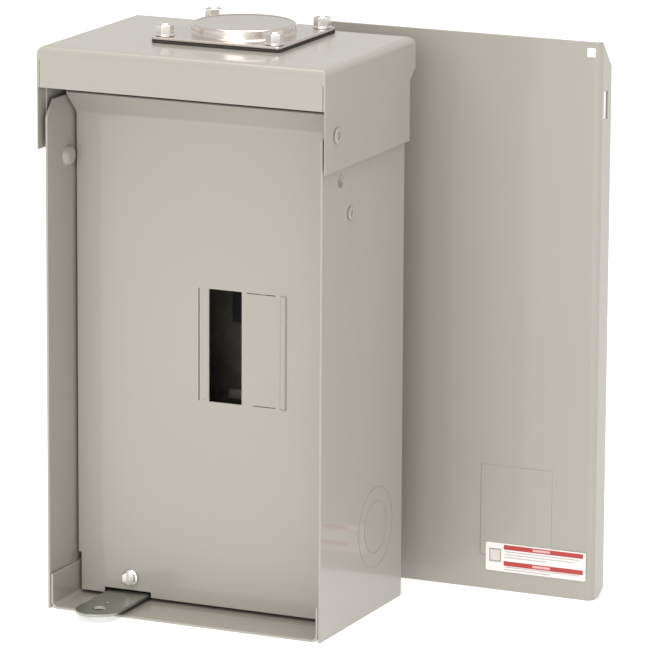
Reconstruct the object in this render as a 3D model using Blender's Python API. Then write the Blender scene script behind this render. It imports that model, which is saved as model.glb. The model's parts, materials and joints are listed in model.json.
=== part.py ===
"""Outdoor two-pole load center: folded steel tub, rain hood, deadfront and a lift-off door."""
import math

import bmesh
import bpy
from mathutils import Matrix, Vector

# Driving dimensions, in metres. X is the width, -Y the front, Z the height.
# The origin is the centre of the tub's underside.
WIDTH = 0.160
DEPTH = 0.107
HEIGHT = 0.305
FRONT = -DEPTH / 2
BACK = DEPTH / 2
SIDE = WIDTH / 2
SHEET = 0.0013
GAP = 0.0003

# Tub
TUB_BEND = 0.0025
WALL_TOP = HEIGHT - SHEET - GAP
SHOULDER_LOW = 0.2670
SHOULDER_TOP = 0.2755
SHOULDER_SLANT = 0.0076
SHOULDER_DEPTH = 0.024
TOP_FLANGE = 0.012
REAR_FLANGE = 0.006
DOME_Y = FRONT + 0.0228
DOME_Z = 0.2426
DOME_RADIUS = 0.0058
DOME_RISE = 0.0034
FOOT_RISE = 0.0042
FOOT_RADIUS = 0.009
FOOT_HOLE = 0.0032
FOOT_PLACES = ((0.0, 0.248), (-0.055, 0.040), (0.055, 0.040))
KNOCKOUT_LARGE = 0.0218
KNOCKOUT_SMALL = 0.0141
KNOCKOUT_GROOVE = 0.0006
SIDE_KNOCKOUT_Y = FRONT + 0.070
SIDE_KNOCKOUT_Z = 0.0465
BOTTOM_KNOCKOUT_X = 0.040
BOTTOM_KNOCKOUT_Y = 0.028

# Bottom pan
PAN_BEND = 0.0032
PAN_TAB = 0.0190

# Rain hood
HOOD_SIDE = 0.083
HOOD_FRONT = FRONT - 0.0035
HOOD_BACK = BACK + 0.0045
HOOD_BEND = 0.0042
HOOD_LIP_BOTTOM = 0.283
HOOD_SKIRT_BOTTOM = 0.2498
HOOD_REAR_STEP = 0.0070
HOOD_REAR_BOTTOM = 0.2884
HUB_OPENING = 0.0245
HOOD_RIVET_Y = FRONT + 0.0112
HOOD_RIVET_Z = 0.2685

# Hub closure
HUB_X = 0.0035
HUB_Y = FRONT + 0.0670
HUB_WIDTH = 0.0745
HUB_DEPTH = 0.0715
GASKET_SHEET = 0.0012
HUB_PLATE = 0.0014
BOSS_RADIUS = 0.0278
BOSS_RISE = 0.0052
HUB_BOLT_X = 0.0318
HUB_BOLT_Y = 0.0295

# Deadfront
DEAD_SHEET = 0.0012
DEAD_FACE = FRONT + 0.031
DEAD_SIDE = 0.0775
DEAD_FOOT_SIDE = 0.0758
DEAD_STEP_Z = 0.024
DEAD_BOTTOM = 0.0032
DEAD_BEND_Z = 0.2650
DEAD_TOP = 0.2772
DEAD_RETURN = 0.0095
PIVOT_Z = DOME_Z
POLE = 0.01905
POLE_LEFT = 0.0004
POLE_BOTTOM = 0.1152
POLE_TOP = 0.1762
TIE = 0.0008
TWIST_SLIT = 0.0005
BEAD_INSET = 0.0024
BEAD_WIDTH = 0.0042
BEAD_RISE = 0.0010
LANCE_INSET = 0.0055
LANCE_SLIT = 0.0006
DEAD_SCREW_X = -0.0461
DEAD_SCREW_Z = 0.0134

# Stops behind the deadfront
STOP_Z = 0.2233
STOP_Y = DEAD_FACE + 0.0042

# Hasp
HASP_X = -0.0472
HASP_HALF = 0.0121
HASP_SHEET = 0.0016
HASP_BOTTOM = 0.0034
HASP_TIP = FRONT - 0.0178
PADLOCK_RADIUS = 0.0039
SEAL_RADIUS = 0.0013

BRACKET_RIVET_Y = (FRONT + 0.0450, FRONT + 0.0560)

# Interior
PLATE_SHEET = 0.0012
PLATE_LEFT = -0.038
PLATE_RIGHT = 0.058
PLATE_BOTTOM = 0.084
PLATE_TOP = 0.242
PLATE_FACE = FRONT + 0.0840
PAN_SCREW_PLACES = [(x, z) for z in (PLATE_BOTTOM - 0.009, PLATE_TOP + 0.009)
                    for x in (PLATE_LEFT + 0.012, PLATE_RIGHT - 0.012)]
WALL_INNER = BACK - SHEET
POLE_A_X = POLE_LEFT + POLE / 2
POLE_B_X = POLE_LEFT + POLE * 1.5
BUS_FACE = PLATE_FACE - 0.0175
BUS_SHEET = 0.0032
LUG_Z = 0.218
NEUTRAL_X = -0.0600
NEUTRAL_FACE = FRONT + 0.0780
NEUTRAL_BACK = NEUTRAL_FACE + 0.0120
NEUTRAL_BOTTOM = 0.096
NEUTRAL_PITCH = 0.0145
NEUTRAL_SCREWS = 6

# Door, standing beside the box on the same floor
DOOR_SHEET = 0.0012
DOOR_LEFT = 0.0150
DOOR_RIGHT = 0.1780
DOOR_FACE = FRONT + 0.1376
DOOR_BACK = DOOR_FACE + 0.0157
DOOR_HEIGHT = 0.3046
DOOR_BEND = 0.0030
DOOR_SLOT_Z = 0.2700
DOOR_SLOT_LENGTH = 0.0150
DOOR_SLOT_WIDTH = 0.0052
DOOR_SLOT_Y = DOOR_FACE + 0.0077
DOOR_TOP_CHAMFER = 0.0146
DOOR_FOOT_CHAMFER = (0.0068, 0.0040)
DOOR_HOLE = 0.0050
DOOR_HOLE_INSET = 0.0058
DOOR_HOLE_Z = 0.2988
DOOR_HASP_SLOT = (0.0290, 0.0026, 0.0078)
LABEL_INSET = 0.0040
LABEL_WIDTH = 0.0582
LABEL_BOTTOM = 0.0108
LABEL_TOP = 0.0264
LABEL_FILM = 0.0003


def clear_scene():
    for obj in list(bpy.data.objects):
        bpy.data.objects.remove(obj, do_unlink=True)


def material(name, colour, roughness, metallic):
    made = bpy.data.materials.new(name)
    made.use_nodes = True
    shader = made.node_tree.nodes["Principled BSDF"]
    shader.inputs["Base Color"].default_value = (*colour, 1.0)
    shader.inputs["Roughness"].default_value = roughness
    shader.inputs["Metallic"].default_value = metallic
    return made


def add_object(name, bm, look=None):
    """One closed body as an object, its faces pointing out."""
    bmesh.ops.recalc_face_normals(bm, faces=bm.faces)
    mesh = bpy.data.meshes.new(name)
    bm.to_mesh(mesh)
    bm.free()
    obj = bpy.data.objects.new(name, mesh)
    bpy.context.scene.collection.objects.link(obj)
    if look is not None:
        mesh.materials.append(look)
    return obj


def place(axis, u, v, along):
    """World point of an outline point (u, v) at a distance along the axis."""
    if axis == "X":
        return Vector((along, u, v))
    if axis == "Y":
        return Vector((u, along, v))
    return Vector((u, v, along))


def prism(outline, axis, start, end):
    """Closed prism: the outline swept along X (its points are y, z), Y (x, z) or Z (x, y)."""
    bm = bmesh.new()
    near = [bm.verts.new(place(axis, u, v, start)) for u, v in outline]
    far = [bm.verts.new(place(axis, u, v, end)) for u, v in outline]
    bm.faces.new(near)
    bm.faces.new(reversed(far))
    for i, vert in enumerate(near):
        j = (i + 1) % len(near)
        bm.faces.new((vert, far[i], far[j], near[j]))
    return bm


def box(low, high):
    (x0, y0, z0), (x1, y1, z1) = low, high
    return prism([(x0, y0), (x1, y0), (x1, y1), (x0, y1)], "Z", z0, z1)


def circle(u, v, radius, sides, phase=0.0):
    step = math.tau / sides
    return [(u + radius * math.cos(phase + i * step), v + radius * math.sin(phase + i * step))
            for i in range(sides)]


def turned(rings, axis, centre, sides=16):
    """Closed turned body. A ring is (radius, distance along the axis, True where it is hexagonal)."""
    bm = bmesh.new()
    rows = []
    for radius, along, hexagonal in rings:
        row = []
        for i in range(sides):
            angle = math.tau * i / sides
            reach = radius
            if hexagonal:
                reach = radius / math.cos((angle + math.pi / 6) % (math.pi / 3) - math.pi / 6)
            u = centre[0] + reach * math.cos(angle)
            v = centre[1] + reach * math.sin(angle)
            row.append(bm.verts.new(place(axis, u, v, along)))
        rows.append(row)
    for low, high in zip(rows, rows[1:]):
        for i in range(sides):
            j = (i + 1) % sides
            bm.faces.new((low[i], low[j], high[j], high[i]))
    bm.faces.new(rows[0])
    bm.faces.new(rows[-1])
    return bm


def filleted(points, radius, steps=3):
    """The open polyline with an arc of the given radius at every corner."""
    path = [Vector(p) for p in points]
    out = [path[0]]
    for before, corner, after in zip(path, path[1:], path[2:]):
        to_before = (before - corner).normalized()
        to_after = (after - corner).normalized()
        half = to_before.angle(to_after) / 2
        centre = corner + (to_before + to_after).normalized() * (radius / math.sin(half))
        start = corner + to_before * (radius / math.tan(half)) - centre
        end = corner + to_after * (radius / math.tan(half)) - centre
        sweep = start.angle(end)
        for i in range(steps + 1):
            t = i / steps
            out.append(centre + (start * math.sin((1 - t) * sweep) + end * math.sin(t * sweep))
                       / math.sin(sweep))
    out.append(path[-1])
    return out


def ribbon(path, thickness):
    """Closed outline of a sheet whose middle line is the path."""
    left, right = [], []
    for i, point in enumerate(path):
        before = (point - path[i - 1]).normalized() if i else None
        after = (path[i + 1] - point).normalized() if i + 1 < len(path) else None
        if before is None or after is None:
            along = before or after
            stretch = 1.0
        else:
            along = (before + after).normalized()
            stretch = 1 / along.dot(before)
        side = Vector((-along.y, along.x)) * (thickness / 2 * stretch)
        left.append(tuple(point + side))
        right.append(tuple(point - side))
    return left + right[::-1]


def folded(points, radius, thickness, axis, start, end, steps=3):
    return prism(ribbon(filleted(points, radius, steps), thickness), axis, start, end)


def boolean(obj, bm, operation):
    """Apply one Boolean with a helper body, which is then removed."""
    helper = add_object(obj.name + "_helper", bm)
    step = obj.modifiers.new(operation.title(), "BOOLEAN")
    step.operation = operation
    step.solver = "EXACT"
    step.object = helper
    depsgraph = bpy.context.evaluated_depsgraph_get()
    result = bpy.data.meshes.new_from_object(obj.evaluated_get(depsgraph))
    obj.modifiers.remove(step)
    old = obj.data
    obj.data = result
    bpy.data.meshes.remove(old)
    bpy.data.objects.remove(helper, do_unlink=True)


def cut(obj, *bodies):
    for bm in bodies:
        boolean(obj, bm, "DIFFERENCE")


def join(obj, *bodies):
    for bm in bodies:
        boolean(obj, bm, "UNION")


def smooth(obj, degrees=35):
    obj.data.shade_smooth()
    obj.data.set_sharp_from_angle(angle=math.radians(degrees))


def bore(axis, centre, radius, start, end, sides=16):
    return prism(circle(*centre, radius, sides), axis, start, end)


def groove(axis, centre, radius, start, end, sides=28):
    """Ring-shaped body that cuts a knockout's outline."""
    ring = turned([(radius + KNOCKOUT_GROOVE / 2, start, False), (radius + KNOCKOUT_GROOVE / 2, end, False)],
                  axis, centre, sides)
    hollow = add_object("groove", ring)
    cut(hollow, bore(axis, centre, radius - KNOCKOUT_GROOVE / 2, start - SHEET, end + SHEET, sides))
    bm = bmesh.new()
    bm.from_mesh(hollow.data)
    bpy.data.objects.remove(hollow, do_unlink=True)
    return bm


def dome(side, radius, rise, base, sides=16):
    """Flat-topped round pressing on a side wall, towards the middle of the box."""
    rings = [(radius, base - side * SHEET, False), (radius, base, False),
             (radius * 0.92, base + side * rise * 0.45, False),
             (radius * 0.70, base + side * rise * 0.85, False),
             (radius * 0.38, base + side * rise, False)]
    return turned(rings, "X", (DOME_Y, DOME_Z), sides)


def make_tub(paint):
    middle = SIDE - SHEET / 2
    rear = BACK - SHEET / 2
    tub = add_object("enclosure_tub", folded(
        [(-middle, FRONT), (-middle, rear), (middle, rear), (middle, FRONT)],
        TUB_BEND, SHEET, "Z", 0.0, WALL_TOP), paint)
    # The side walls stop lower in front of the deadfront, with a slanted corner.
    shoulder = [(FRONT - 0.01, SHOULDER_LOW), (FRONT, SHOULDER_LOW), (FRONT + SHOULDER_SLANT, SHOULDER_TOP),
                (FRONT + SHOULDER_DEPTH, SHOULDER_TOP), (FRONT + SHOULDER_DEPTH, HEIGHT),
                (FRONT - 0.01, HEIGHT)]
    cut(tub, prism(shoulder, "X", -WIDTH, WIDTH))
    # Top flanges under the hood.
    for side in (-1, 1):
        low_x, high_x = sorted((side * (SIDE - SHEET / 2), side * (SIDE - TOP_FLANGE)))
        join(tub, box((low_x, FRONT + 0.030, WALL_TOP - SHEET), (high_x, BACK - 0.016, WALL_TOP)))
    join(tub, box((-0.060, BACK - REAR_FLANGE, WALL_TOP - SHEET), (0.060, BACK - SHEET / 2, WALL_TOP)))
    # The top edges are bevelled to clear the hood's inner bends.
    bevel = 0.0014
    for side in (-1, 1):
        edge = [(side * (SIDE - bevel), WALL_TOP), (side * (SIDE - bevel), HEIGHT),
                (side * (SIDE + bevel), HEIGHT), (side * (SIDE + bevel), WALL_TOP - 2 * bevel)]
        cut(tub, prism(edge, "Y", FRONT - 0.01, BACK + 0.01))
    # Pressed domes in front of the deadfront: raised inside, hollow outside.
    for side in (-1, 1):
        inner = side * (SIDE - SHEET)
        join(tub, dome(-side, DOME_RADIUS, DOME_RISE, inner))
        hollow = turned([(0.0036, inner + side * 2 * SHEET, False), (0.0036, inner + side * 0.0004, False),
                         (0.0020, inner - side * 0.0018, False)], "X", (DOME_Y, DOME_Z), 12)
        cut(tub, hollow)
        cut(tub, bore("X", (HOOD_RIVET_Y, HOOD_RIVET_Z), 0.0025, side * 0.076, side * 0.082, 12))
        cut(tub, bore("X", (STOP_Y, STOP_Z), 0.0020, side * 0.076, side * 0.082, 12))
        outer = side * SIDE
        for radius in (KNOCKOUT_LARGE, KNOCKOUT_SMALL):
            start, end = sorted((outer + side * SHEET, outer - side * 0.0005))
            cut(tub, groove("X", (SIDE_KNOCKOUT_Y, SIDE_KNOCKOUT_Z), radius, start, end))
    # Raised feet with the wall screws' holes.
    for x, z in FOOT_PLACES:
        join(tub, turned([(FOOT_RADIUS, BACK - SHEET / 2, False), (FOOT_RADIUS * 0.9, BACK + FOOT_RISE, False)],
                         "Y", (x, z), 20))
        cut(tub, turned([(FOOT_RADIUS * 0.86, BACK - 2 * SHEET, False),
                         (FOOT_RADIUS * 0.80, BACK + FOOT_RISE - SHEET, False)], "Y", (x, z), 20))
        cut(tub, bore("Y", (x, z), FOOT_HOLE, BACK, BACK + 0.01, 12))
    for x, z in PAN_SCREW_PLACES:
        cut(tub, bore("Y", (x, z), 0.0023, BACK - 0.004, BACK + 0.004, 8))
    smooth(tub)
    return tub


def make_bottom_pan(paint):
    reach = SIDE - SHEET - GAP - SHEET / 2
    pan = add_object("bottom_pan", folded(
        [(-reach, PAN_TAB), (-reach, SHEET / 2), (reach, SHEET / 2), (reach, PAN_TAB)],
        PAN_BEND, SHEET, "Y", FRONT + 0.0002, WALL_INNER - GAP), paint)
    # The rear corners stay clear of the tub's bends, and a tab turns up between them.
    for side in (-1, 1):
        x0, x1 = sorted((side * 0.0740, side * WIDTH))
        cut(pan, box((x0, WALL_INNER - TUB_BEND, -0.01), (x1, BACK, 0.1)))
    join(pan, box((-0.070, WALL_INNER - GAP - SHEET, SHEET / 2), (0.070, WALL_INNER - GAP, PAN_TAB)))
    for x in (-BOTTOM_KNOCKOUT_X, BOTTOM_KNOCKOUT_X):
        for radius in (KNOCKOUT_LARGE, KNOCKOUT_SMALL):
            cut(pan, groove("Z", (x, BOTTOM_KNOCKOUT_Y), radius, -SHEET, 0.0005))
    for y in BRACKET_RIVET_Y:
        cut(pan, bore("Z", (HASP_X, y), 0.0020, -SHEET, 2 * SHEET, 8))
    smooth(pan)
    return pan


def rounded_block(half_x, front, back, bottom, top, radius):
    """Block whose four top edges are rounded."""
    bm = box((-half_x, front, bottom), (half_x, back, top))
    edges = [e for e in bm.edges if all(abs(v.co.z - top) < 1e-6 for v in e.verts)]
    bmesh.ops.bevel(bm, geom=edges, offset=radius, offset_type="OFFSET", segments=3,
                    profile=0.5, affect="EDGES", material=-1)
    return bm


def make_rain_cap(paint):
    cap = add_object("rain_cap", rounded_block(
        HOOD_SIDE, HOOD_FRONT, HOOD_BACK, HOOD_SKIRT_BOTTOM, HEIGHT, HOOD_BEND), paint)
    inner_side = HOOD_SIDE - SHEET
    cut(cap, rounded_block(inner_side, HOOD_FRONT + SHEET, HOOD_BACK - SHEET,
                           HOOD_SKIRT_BOTTOM - 0.01, HEIGHT - SHEET, HOOD_BEND - SHEET))
    # Open front under the lip, and the shorter back with its slanted step.
    cut(cap, box((-inner_side, HOOD_FRONT - 0.01, HOOD_SKIRT_BOTTOM - 0.01),
                 (inner_side, FRONT + 0.01, HOOD_LIP_BOTTOM)))
    step_y = HOOD_BACK - HOOD_REAR_STEP
    rear = [(step_y, HOOD_SKIRT_BOTTOM - 0.01), (HOOD_BACK + 0.01, HOOD_SKIRT_BOTTOM - 0.01),
            (HOOD_BACK + 0.01, HOOD_REAR_BOTTOM), (HOOD_BACK, HOOD_REAR_BOTTOM),
            (step_y, HOOD_REAR_BOTTOM - 0.0058)]
    cut(cap, prism(rear, "X", -WIDTH, WIDTH))
    cut(cap, bore("Z", (HUB_X, HUB_Y), HUB_OPENING, HEIGHT - 0.004, HEIGHT + 0.002, 28))
    for x, y in hub_bolt_places():
        cut(cap, bore("Z", (x, y), 0.0029, HEIGHT - 0.004, HEIGHT + 0.002, 12))
    for side in (-1, 1):
        cut(cap, bore("X", (HOOD_RIVET_Y, HOOD_RIVET_Z), 0.0025, side * 0.081, side * 0.085, 12))
    smooth(cap)
    return cap


def hub_bolt_places():
    return [(HUB_X + sx * HUB_BOLT_X, HUB_Y + sy * HUB_BOLT_Y) for sy in (-1, 1) for sx in (-1, 1)]


def make_hub(gasket_look, plate_look, bolt_look):
    low = HEIGHT + GAP
    outline = (HUB_X - HUB_WIDTH / 2, HUB_Y - HUB_DEPTH / 2), (HUB_X + HUB_WIDTH / 2, HUB_Y + HUB_DEPTH / 2)
    (x0, y0), (x1, y1) = outline
    gasket = add_object("hub_gasket", box((x0, y0, low), (x1, y1, low + GASKET_SHEET)), gasket_look)
    cut(gasket, bore("Z", (HUB_X, HUB_Y), HUB_OPENING, low - 0.002, low + 0.003, 28))
    plate_low = low + GASKET_SHEET + GAP
    plate_top = plate_low + HUB_PLATE
    plate = add_object("hub_closure_plate", box((x0, y0, plate_low), (x1, y1, plate_top)), plate_look)
    join(plate, turned([(BOSS_RADIUS, plate_low + HUB_PLATE / 2, False),
                        (BOSS_RADIUS, plate_top + BOSS_RISE - 0.0014, False),
                        (BOSS_RADIUS - 0.0014, plate_top + BOSS_RISE, False)], "Z", (HUB_X, HUB_Y), 36))
    cut(plate, bore("Z", (HUB_X, HUB_Y), BOSS_RADIUS - 0.0030, plate_low - 0.001,
                    plate_top + BOSS_RISE - HUB_PLATE, 28))
    for x, y in hub_bolt_places():
        cut(gasket, bore("Z", (x, y), 0.0029, low - 0.002, low + 0.003, 12))
        cut(plate, bore("Z", (x, y), 0.0029, plate_low - 0.002, plate_top + 0.002, 12))
    smooth(plate)
    seat = plate_top + GAP
    for number, (x, y) in enumerate(hub_bolt_places(), start=1):
        rings = [(0.0019, HEIGHT - 0.0100, False), (0.0025, HEIGHT - 0.0090, False), (0.0025, seat, False),
                 (0.0052, seat, False), (0.0050, seat + 0.0009, False), (0.0042, seat + 0.0011, True),
                 (0.0042, seat + 0.0050, True), (0.0036, seat + 0.0056, False)]
        bolt = add_object("hub_bolt_%d" % number, turned(rings, "Z", (x, y), 12), bolt_look)
        smooth(bolt)


def make_rivet(name, look, side, y, z, head_face, shank_end, shank, head, rise):
    rings = [(shank, shank_end, False), (shank, head_face, False), (head, head_face, False),
             (head * 0.82, head_face + side * rise * 0.7, False), (head * 0.4, head_face + side * rise, False)]
    rivet = add_object(name, turned(rings, "X", (y, z), 12), look)
    smooth(rivet)


def make_side_fasteners(paint, zinc):
    for side, label in ((-1, "left"), (1, "right")):
        make_rivet("hood_rivet_" + label, paint, side, HOOD_RIVET_Y, HOOD_RIVET_Z,
                   side * (HOOD_SIDE + GAP), side * (SIDE - SHEET - 0.001), 0.0021, 0.0042, 0.0012)
        make_rivet("stop_rivet_" + label, paint, side, STOP_Y, STOP_Z,
                   side * (SIDE + GAP), side * (SIDE - 2 * SHEET - GAP - 0.001), 0.0016, 0.0036, 0.0010)
        wall = side * (SIDE - SHEET - GAP)
        inner = side * (SIDE - SHEET - GAP - 0.0090)
        # Angle: one leg on the wall, one leg across behind the deadfront.
        face = DEAD_FACE + DEAD_SHEET + GAP
        leg = side * SHEET / 2
        stop = add_object("deadfront_stop_" + label, folded(
            [(wall - leg, face + 0.0090), (wall - leg, face + SHEET / 2), (inner, face + SHEET / 2)],
            0.0014, SHEET, "Z", STOP_Z - 0.0110, STOP_Z + 0.0110, 2), zinc)
        cut(stop, bore("X", (STOP_Y, STOP_Z), 0.0020, side * 0.070, side * 0.080, 12))
        smooth(stop)


def make_hasp(zinc):
    """Tongue for the padlock: its front floats over the pan, its rear is joggled down onto it."""
    middle = HASP_BOTTOM + HASP_SHEET / 2
    rear = SHEET + GAP + HASP_SHEET / 2
    profile = [(HASP_TIP, middle), (FRONT + 0.0325, middle), (FRONT + 0.0350, rear), (FRONT + 0.0620, rear)]
    hasp = add_object("padlock_hasp", folded(
        profile, 0.0012, HASP_SHEET, "X", HASP_X - HASP_HALF, HASP_X + HASP_HALF, 2), zinc)
    # The tip is a half circle.
    sides = 12
    arc = [(HASP_X + HASP_HALF * math.cos(math.pi * (1 + i / sides)),
            HASP_TIP + HASP_HALF + HASP_HALF * math.sin(math.pi * (1 + i / sides))) for i in range(sides + 1)]
    spare = 0.004
    corner = [(HASP_X - HASP_HALF - spare, HASP_TIP + HASP_HALF),
              (HASP_X - HASP_HALF - spare, HASP_TIP - spare),
              (HASP_X + HASP_HALF + spare, HASP_TIP - spare),
              (HASP_X + HASP_HALF + spare, HASP_TIP + HASP_HALF)]
    cut(hasp, prism(corner + arc[::-1], "Z", 0.0, 0.012))
    cut(hasp, bore("Z", (HASP_X, HASP_TIP + 0.0132), PADLOCK_RADIUS, 0.0, 0.012, 16))
    cut(hasp, bore("Z", (HASP_X - 0.0004, HASP_TIP + 0.0240), SEAL_RADIUS, 0.0, 0.012, 10))
    foot_low = rear + HASP_SHEET / 2 + GAP
    bracket = add_object("screw_bracket", folded(
        [(FRONT + 0.0376, 0.0255), (FRONT + 0.0376, foot_low + HASP_SHEET / 2),
         (FRONT + 0.0600, foot_low + HASP_SHEET / 2)],
        0.0014, HASP_SHEET, "X", HASP_X - 0.0095, HASP_X + 0.0095, 2), zinc)
    cut(bracket, bore("Y", (DEAD_SCREW_X, DEAD_SCREW_Z), 0.0031, FRONT + 0.034, FRONT + 0.041, 16))
    for number, y in enumerate(BRACKET_RIVET_Y, start=1):
        cut(hasp, bore("Z", (HASP_X, y), 0.0020, 0.0, 0.006, 8))
        cut(bracket, bore("Z", (HASP_X, y), 0.0020, 0.0, 0.012, 8))
        head = foot_low + HASP_SHEET + GAP
        rings = [(0.0016, 0.0001, False), (0.0016, head, False), (0.0032, head, False),
                 (0.0024, head + 0.0009, False), (0.0010, head + 0.0012, False)]
        rivet = add_object("bracket_rivet_%d" % number, turned(rings, "Z", (HASP_X, y), 12), zinc)
        smooth(rivet)
    smooth(hasp)
    smooth(bracket)


def make_deadfront(paint, zinc):
    middle = DEAD_FACE + DEAD_SHEET / 2
    lean = DEAD_TOP - DEAD_BEND_Z
    dead = add_object("deadfront", folded(
        [(middle, DEAD_BOTTOM), (middle, DEAD_BEND_Z), (middle - lean, DEAD_TOP)],
        0.0022, DEAD_SHEET, "X", -DEAD_SIDE, DEAD_SIDE, 2), paint)
    for side in (-1, 1):
        # Narrower foot, then the side returns, open at the stops.
        x0, x1 = sorted((side * DEAD_FOOT_SIDE, side * WIDTH))
        cut(dead, box((x0, DEAD_FACE - 0.01, -0.01), (x1, DEAD_FACE + 0.01, DEAD_STEP_Z)))
        x0, x1 = sorted((side * DEAD_SIDE, side * (DEAD_SIDE - DEAD_SHEET)))
        for z0, z1 in ((DEAD_STEP_Z, STOP_Z - 0.0150), (STOP_Z + 0.0150, DEAD_BEND_Z - 0.0040)):
            join(dead, box((x0, middle, z0), (x1, middle + DEAD_RETURN, z1)))
    # Notch over the hasp.
    cut(dead, box((HASP_X - 0.0146, DEAD_FACE - 0.01, -0.01), (HASP_X + 0.0130, DEAD_FACE + 0.01, 0.0062)))
    # Bead right of the two poles, lanced strip left of them, the open pole, and the twist-out's slits.
    pair_right = POLE_LEFT + 2 * POLE + TIE
    bead = pair_right + BEAD_INSET
    join(dead, prism([(bead, DEAD_FACE + DEAD_SHEET / 2), (bead + 0.0012, DEAD_FACE - BEAD_RISE),
                      (bead + BEAD_WIDTH - 0.0012, DEAD_FACE - BEAD_RISE),
                      (bead + BEAD_WIDTH, DEAD_FACE + DEAD_SHEET / 2)], "Z", POLE_BOTTOM, POLE_TOP))
    reach = 0.01
    cut(dead, box((POLE_LEFT - LANCE_INSET - LANCE_SLIT, DEAD_FACE - reach, POLE_BOTTOM),
                  (POLE_LEFT - LANCE_INSET, DEAD_FACE + reach, POLE_TOP)))
    cut(dead, box((POLE_LEFT, DEAD_FACE - reach, POLE_BOTTOM), (POLE_LEFT + POLE, DEAD_FACE + reach, POLE_TOP)))
    for start, z in ((POLE_LEFT + POLE + 0.0028, POLE_TOP - TWIST_SLIT), (POLE_LEFT + POLE + 0.0068, POLE_BOTTOM)):
        cut(dead, box((start, DEAD_FACE - reach, z), (pair_right, DEAD_FACE + reach, z + TWIST_SLIT)))
    cut(dead, bore("Y", (DEAD_SCREW_X, DEAD_SCREW_Z), 0.0028, DEAD_FACE - reach, DEAD_FACE + reach, 16))
    smooth(dead)
    set_origin(dead, (0.0, DEAD_FACE, PIVOT_Z))
    seat = DEAD_FACE - GAP
    rings = [(0.0016, DEAD_FACE + 0.0125, False), (0.0021, DEAD_FACE + 0.0115, False), (0.0021, seat, False),
             (0.0046, seat, False), (0.0044, seat - 0.0009, False), (0.0035, seat - 0.0011, True),
             (0.0035, seat - 0.0030, True), (0.0030, seat - 0.0035, False)]
    screw = add_object("deadfront_screw", turned(rings, "Y", (DEAD_SCREW_X, DEAD_SCREW_Z), 12), zinc)
    cut(screw, box((DEAD_SCREW_X - 0.0006, seat - 0.006, DEAD_SCREW_Z - 0.006),
                   (DEAD_SCREW_X + 0.0006, seat - 0.0020, DEAD_SCREW_Z + 0.006)))
    smooth(screw)
    set_origin(screw, (DEAD_SCREW_X, DEAD_FACE, DEAD_SCREW_Z))
    screw.parent = dead
    screw.matrix_parent_inverse = Matrix.Translation(dead.location).inverted()


def set_origin(obj, point):
    """Move the object's origin to a point and leave its shape where it is."""
    obj.data.transform(Matrix.Translation(-Vector(point)))
    obj.location = point


def make_screw(name, look, x, z, seat, length, radius, head, height):
    """Round-head slotted screw that points to +Y."""
    rings = [(radius * 0.7, seat + length, False), (radius, seat + length - 0.001, False), (radius, seat, False),
             (head, seat, False), (head, seat - height * 0.6, False), (head * 0.75, seat - height, False)]
    screw = add_object(name, turned(rings, "Y", (x, z), 12), look)
    cut(screw, box((x - 0.0004, seat - 0.01, z - 0.01), (x + 0.0004, seat - height * 0.55, z + 0.01)))
    smooth(screw)


def make_interior(steel, plastic, plated, zinc, green):
    foot = 0.016
    rear = WALL_INNER - GAP - PLATE_SHEET / 2
    face = PLATE_FACE + PLATE_SHEET / 2
    plate = add_object("interior_pan", folded(
        [(rear, PLATE_BOTTOM - foot), (rear, PLATE_BOTTOM), (face, PLATE_BOTTOM), (face, PLATE_TOP),
         (rear, PLATE_TOP), (rear, PLATE_TOP + foot)],
        0.0018, PLATE_SHEET, "X", PLATE_LEFT, PLATE_RIGHT, 2), steel)
    for number, (x, z) in enumerate(PAN_SCREW_PLACES, start=1):
        cut(plate, bore("Y", (x, z), 0.0023, rear - 0.004, rear + 0.004, 8))
        make_screw("pan_screw_%d" % number, zinc, x, z, WALL_INNER - 2 * GAP - PLATE_SHEET, 0.0045, 0.0018,
                   0.0036, 0.0022)
    smooth(plate)
    base_left = POLE_LEFT - 0.0050
    base_right = POLE_LEFT + 2 * POLE + 0.0050
    base_top = 0.236
    bus_back = BUS_FACE + BUS_SHEET
    base = add_object("bus_insulator", box((base_left, bus_back + GAP, 0.150),
                                           (base_right, PLATE_FACE - GAP, base_top)), plastic)
    barrier_x = POLE_LEFT + POLE
    join(base, box((barrier_x - 0.0009, FRONT + 0.046, 0.188), (barrier_x + 0.0009, bus_back + 0.002, base_top)))
    for edge in (base_left, base_right - 0.0018):
        join(base, box((edge, FRONT + 0.056, 0.188), (edge + 0.0018, bus_back + 0.002, base_top)))
    for label, x in (("a", POLE_A_X), ("b", POLE_B_X)):
        bar = add_object("bus_bar_" + label, box((x - 0.0065, BUS_FACE, 0.164),
                                                 (x + 0.0065, bus_back, 0.232)), plated)
        join(bar, box((x - 0.0010, FRONT + 0.0542, 0.166), (x + 0.0010, BUS_FACE + 0.001, 0.182)))
        lug_back = BUS_FACE - GAP
        lug_front = lug_back - 0.0165
        lug = add_object("line_lug_" + label, box((x - 0.0068, lug_front, LUG_Z - 0.010),
                                                  (x + 0.0068, lug_back, LUG_Z + 0.010)), plated)
        cut(lug, bore("Z", (x, lug_back - 0.0064), 0.0046, LUG_Z - 0.02, LUG_Z + 0.02, 16))
        cut(lug, bore("Y", (x, LUG_Z), 0.0034, lug_front - 0.002, lug_back - 0.0064, 12))
        make_set_screw("line_lug_screw_" + label, zinc, x, LUG_Z, lug_front)
    rail_top = POLE_BOTTOM - 0.0060
    rail = add_object("breaker_rail", folded(
        [(PLATE_FACE - GAP - PLATE_SHEET / 2, rail_top - 0.016), (PLATE_FACE - GAP - PLATE_SHEET / 2, rail_top),
         (FRONT + 0.062, rail_top), (FRONT + 0.062, rail_top + 0.006)],
        0.0016, PLATE_SHEET, "X", POLE_LEFT - 0.003, POLE_LEFT + 2 * POLE + 0.003, 2), steel)
    smooth(rail)
    make_neutral(plastic, plated, zinc, green)


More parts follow.
